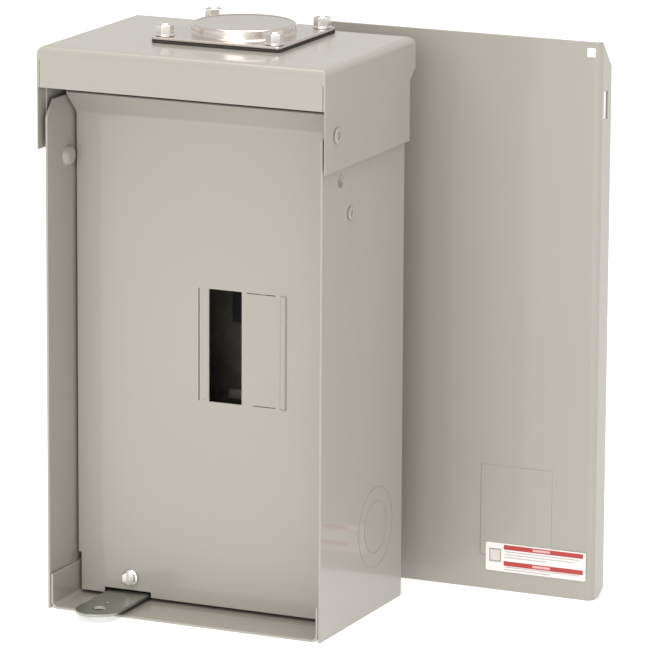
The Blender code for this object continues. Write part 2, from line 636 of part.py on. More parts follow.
def make_set_screw(name, look, x, z, lug_front):
    rings = [(0.0024, lug_front + 0.0058, False), (0.0030, lug_front + 0.0050, False),
             (0.0030, lug_front - 0.0022, False), (0.0026, lug_front - 0.0028, False)]
    screw = add_object(name, turned(rings, "Y", (x, z), 12), look)
    cut(screw, turned([(0.0016, lug_front - 0.006, True), (0.0016, lug_front + 0.0002, True)], "Y", (x, z), 12))
    smooth(screw)


def make_neutral(plastic, plated, zinc, green):
    half = 0.0050
    top = NEUTRAL_BOTTOM + NEUTRAL_SCREWS * NEUTRAL_PITCH
    tongue = 0.0040
    bar = add_object("neutral_bar", box((NEUTRAL_X - half, NEUTRAL_FACE, NEUTRAL_BOTTOM),
                                        (NEUTRAL_X + half, NEUTRAL_BACK, top)), plated)
    join(bar, box((NEUTRAL_X - half, NEUTRAL_BACK - tongue, NEUTRAL_BOTTOM - 0.013),
                  (NEUTRAL_X + half, NEUTRAL_BACK, top + 0.024)))
    for number in range(1, NEUTRAL_SCREWS + 1):
        z = NEUTRAL_BOTTOM + (number - 0.5) * NEUTRAL_PITCH
        cut(bar, bore("X", (NEUTRAL_FACE + 0.0066, z), 0.0025, NEUTRAL_X - 0.01, NEUTRAL_X + 0.01, 10))
        cut(bar, bore("Y", (NEUTRAL_X, z), 0.0021, NEUTRAL_FACE - 0.002, NEUTRAL_FACE + 0.0066, 8))
        make_screw("neutral_screw_%d" % number, zinc, NEUTRAL_X, z, NEUTRAL_FACE - GAP, 0.0050, 0.0016,
                   0.0034, 0.0026)
    bond_z = NEUTRAL_BOTTOM - 0.0068
    cut(bar, bore("Y", (NEUTRAL_X, bond_z), 0.0024, NEUTRAL_FACE, NEUTRAL_BACK + 0.004, 12))
    make_screw("bonding_screw", green, NEUTRAL_X, bond_z, NEUTRAL_BACK - tongue - GAP,
               WALL_INNER - NEUTRAL_BACK + tongue, 0.0020, 0.0044, 0.0030)
    for label, z in (("lower", NEUTRAL_BOTTOM + 0.012), ("upper", top - 0.012)):
        add_object("neutral_standoff_" + label, box(
            (NEUTRAL_X - 0.0075, NEUTRAL_BACK + GAP, z - 0.009), (NEUTRAL_X + 0.0075, WALL_INNER - GAP, z + 0.009)),
            plastic)
    lug_z = top + 0.0125
    lug_back = NEUTRAL_BACK - tongue - GAP
    lug_front = lug_back - 0.0165
    lug = add_object("neutral_lug", box((NEUTRAL_X - 0.0068, lug_front, lug_z - 0.010),
                                        (NEUTRAL_X + 0.0068, lug_back, lug_z + 0.010)), plated)
    cut(lug, bore("Z", (NEUTRAL_X, lug_back - 0.0064), 0.0046, lug_z - 0.02, lug_z + 0.02, 16))
    cut(lug, bore("Y", (NEUTRAL_X, lug_z), 0.0034, lug_front - 0.002, lug_back - 0.0064, 12))
    make_set_screw("neutral_lug_screw", zinc, NEUTRAL_X, lug_z, lug_front)


def make_door(paint, paper):
    middle = DOOR_FACE + DOOR_SHEET / 2
    left = DOOR_LEFT + DOOR_SHEET / 2
    right = DOOR_RIGHT - DOOR_SHEET / 2
    door = add_object("door_panel", folded(
        [(left, DOOR_BACK), (left, middle), (right, middle), (right, DOOR_BACK)],
        DOOR_BEND, DOOR_SHEET, "Z", 0.0, DOOR_HEIGHT), paint)
    foot_deep, foot_tall = DOOR_FOOT_CHAMFER
    for start, z, reach in ((DOOR_FACE + DOOR_BEND, DOOR_HEIGHT, -DOOR_TOP_CHAMFER),
                            (DOOR_BACK - foot_deep, 0.0, foot_tall)):
        away = z - math.copysign(0.01, reach)
        corner = [(start, away), (start, z), (DOOR_BACK, z + reach),
                  (DOOR_BACK + 0.01, z + reach), (DOOR_BACK + 0.01, away)]
        cut(door, prism(corner, "X", DOOR_LEFT - 0.01, DOOR_RIGHT + 0.01))
    half = DOOR_SLOT_LENGTH / 2
    width = DOOR_SLOT_WIDTH / 2
    cut(door, box((DOOR_LEFT - 0.01, DOOR_SLOT_Y - width, DOOR_SLOT_Z - half),
                  (DOOR_RIGHT + 0.01, DOOR_SLOT_Y + width, DOOR_SLOT_Z + half)))
    # Square holes in the top corners of the face, and the hasp's slot.
    hole = DOOR_HOLE / 2
    for x in (DOOR_LEFT + DOOR_HOLE_INSET, DOOR_RIGHT - DOOR_HOLE_INSET):
        cut(door, box((x - hole, DOOR_FACE - 0.01, DOOR_HOLE_Z - hole),
                      (x + hole, DOOR_FACE + 0.01, DOOR_HOLE_Z + hole)))
    slot_x = (DOOR_LEFT + DOOR_RIGHT) / 2 + HASP_X
    slot_width, slot_low, slot_high = DOOR_HASP_SLOT
    cut(door, box((slot_x - slot_width / 2, DOOR_FACE - 0.01, slot_low),
                  (slot_x + slot_width / 2, DOOR_FACE + 0.01, slot_high)))
    smooth(door)
    set_origin(door, ((DOOR_LEFT + DOOR_RIGHT) / 2, DOOR_FACE, 0.0))
    label_right = DOOR_RIGHT - LABEL_INSET
    add_object("door_label", box((label_right - LABEL_WIDTH, DOOR_FACE - GAP - LABEL_FILM, LABEL_BOTTOM),
                                 (label_right, DOOR_FACE - GAP, LABEL_TOP)), paper)


def main():
    clear_scene()
    paint = material("grey_paint", (0.47, 0.45, 0.39), 0.42, 0.0)
    zinc = material("bright_zinc", (0.78, 0.77, 0.74), 0.30, 1.0)
    steel = material("galvanised_steel", (0.62, 0.62, 0.60), 0.45, 1.0)
    plated = material("plated_aluminium", (0.74, 0.73, 0.71), 0.35, 1.0)
    black = material("gasket_rubber", (0.03, 0.03, 0.028), 0.80, 0.0)
    plastic = material("moulded_insulator", (0.045, 0.045, 0.05), 0.55, 0.0)
    green = material("green_screw", (0.03, 0.22, 0.07), 0.40, 0.3)
    paper = material("label_face", (0.85, 0.82, 0.80), 0.50, 0.0)
    make_tub(paint)
    make_bottom_pan(paint)
    make_rain_cap(paint)
    make_hub(black, zinc, zinc)
    make_side_fasteners(paint, zinc)
    make_hasp(zinc)
    make_deadfront(paint, zinc)
    make_interior(steel, plastic, plated, zinc, green)
    make_door(paint, paper)


main()
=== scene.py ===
"""Looks of a small outdoor load center: painted sheet steel, zinc fasteners, bus interior and loose door."""

import json
import math

import bmesh
import bpy
from bpy.props import FloatProperty, FloatVectorProperty, IntProperty, PointerProperty
from mathutils import Matrix, Vector


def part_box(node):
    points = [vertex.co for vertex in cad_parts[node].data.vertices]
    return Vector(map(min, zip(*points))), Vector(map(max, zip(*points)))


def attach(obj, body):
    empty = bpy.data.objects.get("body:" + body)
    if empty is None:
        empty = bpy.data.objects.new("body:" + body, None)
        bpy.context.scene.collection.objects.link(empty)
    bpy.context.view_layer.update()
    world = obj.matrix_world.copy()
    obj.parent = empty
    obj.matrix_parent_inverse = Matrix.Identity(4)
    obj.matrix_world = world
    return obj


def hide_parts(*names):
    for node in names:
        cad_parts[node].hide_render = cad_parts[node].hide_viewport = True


bl_info = {
    "name": "Outdoor Load Center",
    "version": (1, 0, 0),
    "blender": (4, 5, 0),
    "location": "3D View > Sidebar > Load Center",
    "description": "Builds the finished pieces of a small outdoor load center around its packed model",
    "category": "Object",
}

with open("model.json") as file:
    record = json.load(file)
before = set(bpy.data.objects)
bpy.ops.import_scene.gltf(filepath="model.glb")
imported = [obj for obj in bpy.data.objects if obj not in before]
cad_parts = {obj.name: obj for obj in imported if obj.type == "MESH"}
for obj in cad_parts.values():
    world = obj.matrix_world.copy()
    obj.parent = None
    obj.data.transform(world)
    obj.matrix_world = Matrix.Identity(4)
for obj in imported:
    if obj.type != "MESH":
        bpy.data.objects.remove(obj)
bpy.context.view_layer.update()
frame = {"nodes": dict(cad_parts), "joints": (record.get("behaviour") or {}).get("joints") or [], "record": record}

MM = 0.001
FLOOR_HALF = 12.0
TINY = 1e-6
MERGE = 0.01 * MM


# ---------------------------------------------------------------- sizes and colours

class LoadCenterSizes(bpy.types.PropertyGroup):
    sheet: FloatProperty(
        name="Tub Sheet", description="Thickness of the tub, pan and hood sheet",
        default=1.3 * MM, min=0.5 * MM, unit="LENGTH")
    cover_sheet: FloatProperty(
        name="Cover Sheet", description="Thickness of the deadfront and door sheet",
        default=1.2 * MM, min=0.5 * MM, unit="LENGTH")
    edge: FloatProperty(
        name="Edge Rounding", description="Paint build-up that rounds a sheet's cut edges",
        default=0.32 * MM, min=0.05 * MM, unit="LENGTH")
    bend_steps: IntProperty(
        name="Bend Steps", description="Faces round each folded bend", default=6, min=2, max=16)
    round_steps: IntProperty(
        name="Round Steps", description="Sides of a turned piece", default=48, min=12, max=96)


class LoadCenterColours(bpy.types.PropertyGroup):
    paint: FloatVectorProperty(
        name="Paint", description="Warm light grey powder coat", subtype="COLOR", size=3,
        default=(0.354, 0.339, 0.297), min=0.0, max=1.0)
    zinc: FloatVectorProperty(
        name="Zinc", description="Bright zinc plate of bolts and screws", subtype="COLOR", size=3,
        default=(0.80, 0.79, 0.76), min=0.0, max=1.0)
    closure: FloatVectorProperty(
        name="Hub Closure", description="Warm satin zinc of the hub closure", subtype="COLOR", size=3,
        default=(0.74, 0.69, 0.645), min=0.0, max=1.0)
    hasp: FloatVectorProperty(
        name="Hasp Zinc", description="Duller passivated zinc of the hasp", subtype="COLOR", size=3,
        default=(0.40, 0.42, 0.37), min=0.0, max=1.0)
    steel: FloatVectorProperty(
        name="Galvanised Steel", description="Interior plate and breaker rail", subtype="COLOR", size=3,
        default=(0.40, 0.385, 0.345), min=0.0, max=1.0)
    plated: FloatVectorProperty(
        name="Plated Bar", description="Tin-plated aluminium of bars and lugs", subtype="COLOR", size=3,
        default=(0.76, 0.75, 0.73), min=0.0, max=1.0)
    insulator: FloatVectorProperty(
        name="Insulator", description="Moulded base and standoffs", subtype="COLOR", size=3,
        default=(0.018, 0.018, 0.020), min=0.0, max=1.0)
    gasket: FloatVectorProperty(
        name="Gasket", description="Rubber sheet under the hub closure", subtype="COLOR", size=3,
        default=(0.045, 0.040, 0.033), min=0.0, max=1.0)
    bond: FloatVectorProperty(
        name="Bonding Green", description="Dyed plate of the bonding screw", subtype="COLOR", size=3,
        default=(0.02, 0.22, 0.06), min=0.0, max=1.0)
    label_red: FloatVectorProperty(
        name="Label Red", description="Bands of the door label", subtype="COLOR", size=3,
        default=(0.42, 0.045, 0.04), min=0.0, max=1.0)
    floor: FloatVectorProperty(
        name="Floor", description="Pale floor of the stage", subtype="COLOR", size=3,
        default=(0.60, 0.60, 0.60), min=0.0, max=1.0)


def sizes():
    return bpy.context.scene.load_center_sizes


def colours():
    return bpy.context.scene.load_center_colours


# ---------------------------------------------------------------- shader groups and materials

def group_nodes(name, inputs, outputs):
    """New shader node group with float or vector sockets; returns it with its input and output nodes."""
    tree = bpy.data.node_groups.new(name, "ShaderNodeTree")
    for label, kind, value in inputs:
        made = tree.interface.new_socket(name=label, in_out="INPUT", socket_type=kind)
        if value is not None:
            made.default_value = value
    for label, kind in outputs:
        tree.interface.new_socket(name=label, in_out="OUTPUT", socket_type=kind)
    return tree, tree.nodes.new("NodeGroupInput"), tree.nodes.new("NodeGroupOutput")


def node(tree, kind, **settings):
    made = tree.nodes.new(kind)
    for key, value in settings.items():
        setattr(made, key, value)
    return made


def wire(tree, start, end):
    tree.links.new(start, end)


def maths(tree, operation, first, second=None):
    made = node(tree, "ShaderNodeMath", operation=operation)
    for socket, value in zip(made.inputs, (first, second)):
        if isinstance(value, bpy.types.NodeSocket):
            wire(tree, value, socket)
        elif value is not None:
            socket.default_value = value
    return made.outputs[0]


def noise(tree, vector, scale, detail=3.0, roughness=0.55):
    made = node(tree, "ShaderNodeTexNoise")
    made.inputs["Detail"].default_value = detail
    made.inputs["Roughness"].default_value = roughness
    if isinstance(scale, bpy.types.NodeSocket):
        wire(tree, scale, made.inputs["Scale"])
    else:
        made.inputs["Scale"].default_value = scale
    wire(tree, vector, made.inputs["Vector"])
    return made.outputs["Fac"]


def spread(tree, value, low, high):
    """Maps a 0..1 value onto low..high."""
    made = node(tree, "ShaderNodeMapRange")
    wire(tree, value, made.inputs["Value"])
    made.inputs["From Min"].default_value = 0.25
    made.inputs["From Max"].default_value = 0.75
    for socket, amount in (("To Min", low), ("To Max", high)):
        if isinstance(amount, bpy.types.NodeSocket):
            wire(tree, amount, made.inputs[socket])
        else:
            made.inputs[socket].default_value = amount
    return made.outputs["Result"]


def tint(tree, colour, factor, strength):
    """Colour scaled by 1 plus or minus a varying factor."""
    made = node(tree, "ShaderNodeMix", data_type="RGBA", blend_type="MULTIPLY")
    made.inputs["Factor"].default_value = 1.0
    level = spread(tree, factor, maths(tree, "SUBTRACT", 1.0, strength), maths(tree, "ADD", 1.0, strength))
    wire(tree, colour, made.inputs["A"])
    wire(tree, level, made.inputs["B"])
    return made.outputs["Result"]


def surface_group():
    """Grain, mottling and handling marks shared by every finish."""
    name = "Surface Grain"
    if name in bpy.data.node_groups:
        return bpy.data.node_groups[name]
    tree, start, end = group_nodes(
        name,
        [("Vector", "NodeSocketVector", None), ("Color", "NodeSocketColor", (0.5, 0.5, 0.5, 1.0)),
         ("Grain Scale", "NodeSocketFloat", 900.0), ("Grain Height", "NodeSocketFloat", 0.02),
         ("Mottle", "NodeSocketFloat", 0.02), ("Roughness", "NodeSocketFloat", 0.4),
         ("Roughness Spread", "NodeSocketFloat", 0.05)],
        [("Color", "NodeSocketColor"), ("Roughness", "NodeSocketFloat"), ("Normal", "NodeSocketVector")])
    vector = start.outputs["Vector"]
    grain = noise(tree, vector, start.outputs["Grain Scale"], 2.0)
    cloud = noise(tree, vector, 14.0, 4.0)
    smear = noise(tree, vector, 55.0, 3.0)
    wire(tree, tint(tree, start.outputs["Color"], cloud, start.outputs["Mottle"]), end.inputs["Color"])
    low = maths(tree, "SUBTRACT", start.outputs["Roughness"], start.outputs["Roughness Spread"])
    high = maths(tree, "ADD", start.outputs["Roughness"], start.outputs["Roughness Spread"])
    wire(tree, spread(tree, smear, low, high), end.inputs["Roughness"])
    bump = node(tree, "ShaderNodeBump")
    bump.inputs["Distance"].default_value = 0.2 * MM
    wire(tree, grain, bump.inputs["Height"])
    wire(tree, start.outputs["Grain Height"], bump.inputs["Strength"])
    wire(tree, bump.outputs["Normal"], end.inputs["Normal"])
    return tree


def band_group():
    """Mask of one rectangle on a plane of X and Z: 1 inside, 0 outside."""
    name = "Printed Block"
    if name in bpy.data.node_groups:
        return bpy.data.node_groups[name]
    tree, start, end = group_nodes(
        name,
        [("Vector", "NodeSocketVector", None), ("Centre X", "NodeSocketFloat", 0.0),
         ("Centre Z", "NodeSocketFloat", 0.0), ("Half Width", "NodeSocketFloat", 0.01),
         ("Half Height", "NodeSocketFloat", 0.001)],
        [("Mask", "NodeSocketFloat")])
    split = node(tree, "ShaderNodeSeparateXYZ")
    wire(tree, start.outputs["Vector"], split.inputs[0])
    inside = []
    for axis, centre, half in (("X", "Centre X", "Half Width"), ("Z", "Centre Z", "Half Height")):
        away = maths(tree, "ABSOLUTE", maths(tree, "SUBTRACT", split.outputs[axis], start.outputs[centre]))
        inside.append(maths(tree, "LESS_THAN", away, start.outputs[half]))
    wire(tree, maths(tree, "MULTIPLY", *inside), end.inputs["Mask"])
    return tree


def new_material(name):
    made = bpy.data.materials.new(name)
    made.use_nodes = True
    tree = made.node_tree
    return made, tree, tree.nodes["Principled BSDF"]


def object_vector(tree, stretch=(1.0, 1.0, 1.0)):
    place = node(tree, "ShaderNodeTexCoord")
    turn = node(tree, "ShaderNodeMapping")
    turn.inputs["Scale"].default_value = stretch
    wire(tree, place.outputs["Object"], turn.inputs["Vector"])
    return turn.outputs["Vector"]


def finish_material(name, colour, metallic, roughness, spread_of, grain, height, mottle,
                    stretch=(1.0, 1.0, 1.0), coat=0.0, coat_roughness=0.2):
    """One finish: the shared surface group in front of a Principled shader."""
    if name in bpy.data.materials:
        return bpy.data.materials[name]
    made, tree, shader = new_material(name)
    look = node(tree, "ShaderNodeGroup", node_tree=surface_group())
    wire(tree, object_vector(tree, stretch), look.inputs["Vector"])
    look.inputs["Color"].default_value = (*colour, 1.0)
    look.inputs["Grain Scale"].default_value = grain
    look.inputs["Grain Height"].default_value = height
    look.inputs["Mottle"].default_value = mottle
    look.inputs["Roughness"].default_value = roughness
    look.inputs["Roughness Spread"].default_value = spread_of
    wire(tree, look.outputs["Color"], shader.inputs["Base Color"])
    wire(tree, look.outputs["Roughness"], shader.inputs["Roughness"])
    wire(tree, look.outputs["Normal"], shader.inputs["Normal"])
    shader.inputs["Metallic"].default_value = metallic
    shader.inputs["Coat Weight"].default_value = coat
    shader.inputs["Coat Roughness"].default_value = coat_roughness
    return made


def paint_material():
    return finish_material("Powder Coat Grey", colours().paint, 0.0, 0.42, 0.03, 620.0, 0.06, 0.014,
                           coat=0.75, coat_roughness=0.08)


def zinc_material():
    return finish_material("Bright Zinc", colours().zinc, 1.0, 0.24, 0.07, 1400.0, 0.10, 0.06)


def hub_material():
    return finish_material("Satin Zinc Casting", colours().closure, 1.0, 0.24, 0.05, 900.0, 0.05, 0.03)


def hasp_material():
    return finish_material("Olive Zinc", colours().hasp, 1.0, 0.36, 0.08, 700.0, 0.20, 0.10)


def plated_material():
    return finish_material("Tin Plate", colours().plated, 1.0, 0.38, 0.06, 1000.0, 0.14, 0.05,
                           stretch=(1.0, 1.0, 0.12))


def insulator_material():
    return finish_material("Moulded Insulator", colours().insulator, 0.0, 0.48, 0.06, 800.0, 0.30, 0.12)


def gasket_material():
    return finish_material("Gasket Rubber", colours().gasket, 0.0, 0.75, 0.08, 1200.0, 0.35, 0.20)


def bond_material():
    return finish_material("Green Dyed Plate", colours().bond, 0.55, 0.32, 0.06, 1200.0, 0.10, 0.10)


def galvanised_material():
    """Zinc spangle: flat cells of slightly different brightness."""
    name = "Galvanised Spangle"
    if name in bpy.data.materials:
        return bpy.data.materials[name]
    made, tree, shader = new_material(name)
    vector = object_vector(tree)
    cells = node(tree, "ShaderNodeTexVoronoi")
    cells.inputs["Scale"].default_value = 320.0
    wire(tree, vector, cells.inputs["Vector"])
    split = node(tree, "ShaderNodeSeparateColor")
    wire(tree, cells.outputs["Color"], split.inputs[0])
    shade = node(tree, "ShaderNodeMix", data_type="RGBA")
    colour = Vector(colours().steel)
    shade.inputs["A"].default_value = (*(colour * 0.95), 1.0)
    shade.inputs["B"].default_value = (*(colour * 1.05), 1.0)
    wire(tree, split.outputs["Red"], shade.inputs["Factor"])
    wire(tree, shade.outputs["Result"], shader.inputs["Base Color"])
    wire(tree, spread(tree, split.outputs["Green"], 0.44, 0.52), shader.inputs["Roughness"])
    bump = node(tree, "ShaderNodeBump")
    bump.inputs["Distance"].default_value = 0.1 * MM
    bump.inputs["Strength"].default_value = 0.08
    wire(tree, split.outputs["Blue"], bump.inputs["Height"])
    wire(tree, bump.outputs["Normal"], shader.inputs["Normal"])
    shader.inputs["Metallic"].default_value = 1.0
    return made


def block(tree, vector, centre_x, centre_z, half_width, half_height):
    made = node(tree, "ShaderNodeGroup", node_tree=band_group())
    wire(tree, vector, made.inputs["Vector"])
    for label, value in (("Centre X", centre_x), ("Centre Z", centre_z),
                         ("Half Width", half_width), ("Half Height", half_height)):
        made.inputs[label].default_value = value
    return made.outputs["Mask"]


def over(tree, below, mask, colour):
    made = node(tree, "ShaderNodeMix", data_type="RGBA")
    wire(tree, mask, made.inputs["Factor"])
    wire(tree, below, made.inputs["A"])
    made.inputs["B"].default_value = (*colour, 1.0)
    return made.outputs["Result"]


def label_material():
    """Plain notice: white film, two coloured bands and grey rules, with nothing written on it."""
    name = "Printed Film"
    if name in bpy.data.materials:
        return bpy.data.materials[name]
    made, tree, shader = new_material(name)
    vector = object_vector(tree)
    low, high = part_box("door_label")
    width, height = high.x - low.x, high.z - low.z
    film = node(tree, "ShaderNodeMix", data_type="RGBA")
    film.inputs["A"].default_value = (0.80, 0.77, 0.76, 1.0)
    film.inputs["B"].default_value = (0.86, 0.83, 0.82, 1.0)
    wire(tree, noise(tree, vector, 90.0), film.inputs["Factor"])
    result = film.outputs["Result"]
    bar_left = low.x + width * 0.18
    bar_right = high.x - width * 0.025
    bar_half = (bar_right - bar_left) / 2
    bar_x = (bar_left + bar_right) / 2
    for row in (0.875, 0.295):
        centre = low.z + height * row
        result = over(tree, result, block(tree, vector, bar_x, centre, bar_half, height * 0.085),
                      colours().label_red)
        result = over(tree, result, block(tree, vector, bar_x - bar_half * 0.05, centre,
                                          bar_half * 0.22, height * 0.040), (0.72, 0.45, 0.43))
    for row, reach in ((0.72, 0.96), (0.62, 0.90), (0.52, 0.55), (0.17, 0.97), (0.08, 0.60)):
        result = over(tree, result, block(tree, vector, bar_left + bar_half * reach, low.z + height * row,
                                          bar_half * reach * 0.97, height * 0.022), (0.50, 0.47, 0.46))
    for across, tall, colour in ((0.060, 0.24, (0.33, 0.31, 0.29)), (0.048, 0.19, (0.66, 0.62, 0.58))):
        square = block(tree, vector, low.x + width * 0.095, low.z + height * 0.56,
                       width * across, height * tall)
        result = over(tree, result, square, colour)
    wire(tree, result, shader.inputs["Base Color"])
    shader.inputs["Roughness"].default_value = 0.38
    return made


# ---------------------------------------------------------------- mesh helpers

AXES = {"X": Vector((1, 0, 0)), "Y": Vector((0, 1, 0)), "Z": Vector((0, 0, 1))}


def place(axis, u, v, along):
    """Point with outline coordinates u, v: y, z for X, x, z for Y and x, y for Z."""
    if axis == "X":
        return Vector((along, u, v))
    if axis == "Y":
        return Vector((u, along, v))
    return Vector((u, v, along))


def verts_of(geom):
    return [part for part in geom if isinstance(part, bmesh.types.BMVert)]


def block_mesh(low, high):
    """Box between two corners."""
    low, high = Vector(low), Vector(high)
    bm = bmesh.new()
    bmesh.ops.create_cube(bm, size=1.0)
    bmesh.ops.scale(bm, vec=high - low, verts=bm.verts)
    bmesh.ops.translate(bm, vec=(low + high) / 2, verts=bm.verts)
    return bm


def plate_mesh(outline, axis, start, end):
    """Outline made a face and extruded along an axis."""
    bm = bmesh.new()
    face = bm.faces.new([bm.verts.new(place(axis, u, v, start)) for u, v in outline])
    grown = bmesh.ops.extrude_face_region(bm, geom=[face])["geom"]
    bmesh.ops.translate(bm, vec=AXES[axis] * (end - start), verts=verts_of(grown))
    bmesh.ops.recalc_face_normals(bm, faces=bm.faces)
    return bm


def sheet_mesh(points, axis, start, end, bend, steps):
    """One-sided sheet folded along a line of points; each fold is rounded."""
    bm = bmesh.new()
    line = [bm.verts.new(place(axis, u, v, start)) for u, v in points]
    edges = [bm.edges.new(pair) for pair in zip(line, line[1:])]
    bmesh.ops.translate(bm, vec=AXES[axis] * (end - start),
                        verts=verts_of(bmesh.ops.extrude_edge_only(bm, edges=edges)["geom"]))
    folds = [edge for edge in bm.edges if len(edge.link_faces) == 2]
    if folds and bend:
        bmesh.ops.bevel(bm, geom=folds, offset=bend, offset_type="OFFSET", segments=steps,
                        profile=0.5, affect="EDGES", material=-1)
    return bm


def turned_mesh(profile, axis, centre, steps, ring=False):
    """Turned piece: a profile of radius and distance spun round an axis; a ring's profile is a loop."""
    bm = bmesh.new()
    line = [bm.verts.new(place(axis, centre[0] + radius, centre[1], along)) for radius, along in profile]
    follows = line[1:] + line[:1] if ring else line[1:]
    edges = [bm.edges.new(pair) for pair in zip(line, follows)]
    bmesh.ops.spin(bm, geom=line + edges, cent=place(axis, *centre, 0.0), axis=AXES[axis],
                   angle=math.tau, steps=steps, use_merge=True)
    bmesh.ops.remove_doubles(bm, verts=bm.verts, dist=TINY)
    bmesh.ops.holes_fill(bm, edges=bm.edges, sides=0)
    bmesh.ops.recalc_face_normals(bm, faces=bm.faces)
    return bm


def cylinder_mesh(axis, centre, radius, start, end, steps):
    return turned_mesh([(radius, start), (radius, end)], axis, centre, steps)


def as_object(name, bm):
    mesh = bpy.data.meshes.new(name)
    bm.to_mesh(mesh)
    bm.free()
    obj = bpy.data.objects.new(name, mesh)
    bpy.context.scene.collection.objects.link(obj)
    return obj


def apply_modifiers(obj):
    depsgraph = bpy.context.evaluated_depsgraph_get()
    depsgraph.update()
    result = bpy.data.meshes.new_from_object(obj.evaluated_get(depsgraph))
    obj.modifiers.clear()
    old = obj.data
    obj.data = result
    bpy.data.meshes.remove(old)


def thicken(obj, thickness):
    """Give a one-sided sheet its thickness, half to each side."""
    step = obj.modifiers.new("Sheet", "SOLIDIFY")
    step.thickness = thickness
    step.offset = 0.0
    step.use_even_offset = True
    apply_modifiers(obj)


def combine(obj, tools, operation):
    for bm in tools:
        helper = as_object("helper", bm)
        step = obj.modifiers.new(operation.title(), "BOOLEAN")
        step.operation = operation
        step.solver = "EXACT"
        step.object = helper
        apply_modifiers(obj)
        bpy.data.objects.remove(helper, do_unlink=True)


def cut(obj, *tools):
    combine(obj, tools, "DIFFERENCE")


def join(obj, *tools):
    combine(obj, tools, "UNION")


def tidy_mesh(obj):
    """Merge doubles and clear the flat seams that cuts leave."""
    bm = bmesh.new()
    bm.from_mesh(obj.data)
    bmesh.ops.remove_doubles(bm, verts=bm.verts, dist=MERGE)
    bmesh.ops.dissolve_limit(bm, angle_limit=math.radians(1.0), verts=bm.verts, edges=bm.edges)
    bm.to_mesh(obj.data)
    bm.free()


def round_edges(obj, width, steps=3, sharp=35.0):
    tidy_mesh(obj)
    rounding = obj.modifiers.new("Rounded Edges", "BEVEL")
    rounding.width = width
    rounding.segments = steps
    rounding.limit_method = "ANGLE"
    rounding.angle_limit = math.radians(sharp)
    rounding.use_clamp_overlap = False
    rounding.miter_outer = "MITER_ARC"
    apply_modifiers(obj)


def settle(obj, look, body, replaced):
    """Give a finished piece its look, smooth shading and body, and hide the CAD nodes it replaces."""
    obj.data.shade_smooth()
    obj.data.set_sharp_from_angle(angle=math.radians(40.0))
    level = obj.modifiers.new("Even Shading", "WEIGHTED_NORMAL")
    level.keep_sharp = True
    obj.data.materials.clear()
    obj.data.materials.append(look)
    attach(obj, body)
    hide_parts(*replaced)


def numbered(name, count):
    return ["%s%d" % (name, number + 1) for number in range(count)]


def centre_of(name):
    low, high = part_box(name)
    return (low + high) / 2


def copy_of(name):
    """Copy of a CAD node's mesh."""
    bm = bmesh.new()
    bm.from_mesh(frame["nodes"][name].data)
    return bm


def knockout_tools(axis, centre, radii, face, depth, way, steps):
    """Ring grooves that mark a knockout; way is +1 where the metal lies towards plus along the axis."""
    outside, inside = face - way * MM, face + way * depth
    tools = []
    for radius in radii:
        near, far = radius - GROOVE_HALF, radius + GROOVE_HALF
        profile = [(near, outside), (near, inside), (far, inside), (far, outside)]
        tools.append(turned_mesh(profile, axis, centre, steps, ring=True))
    return tools


# ---------------------------------------------------------------- pieces

TUB_FOLD = 2.5 * MM
FOOT_RISE = 4.2 * MM
FOOT_RADIUS = 9.0 * MM
FOOT_HOLE = 3.2 * MM
FOOT_MOUNT_RISE = 5.6 * MM
KNOCKOUT_RADII = (21.8 * MM, 14.1 * MM)
GROOVE_HALF = 0.35 * MM
RIVET_HOLE = 2.0 * MM
BOLT_HOLE = 2.9 * MM
HUB_OPENING = 24.5 * MM
HOOD_FOLD = 4.2 * MM
SPARE = 10.0 * MM
SIDES = (("left", -1), ("right", 1))


def mount_at(name):
    return Vector(next(m["pos_m"] for m in frame["record"]["mounts"] if m["name"] == name))


def joint_at(name):
    return Vector(next(j["pos_m"] for j in frame["joints"] if j["name"] == name))


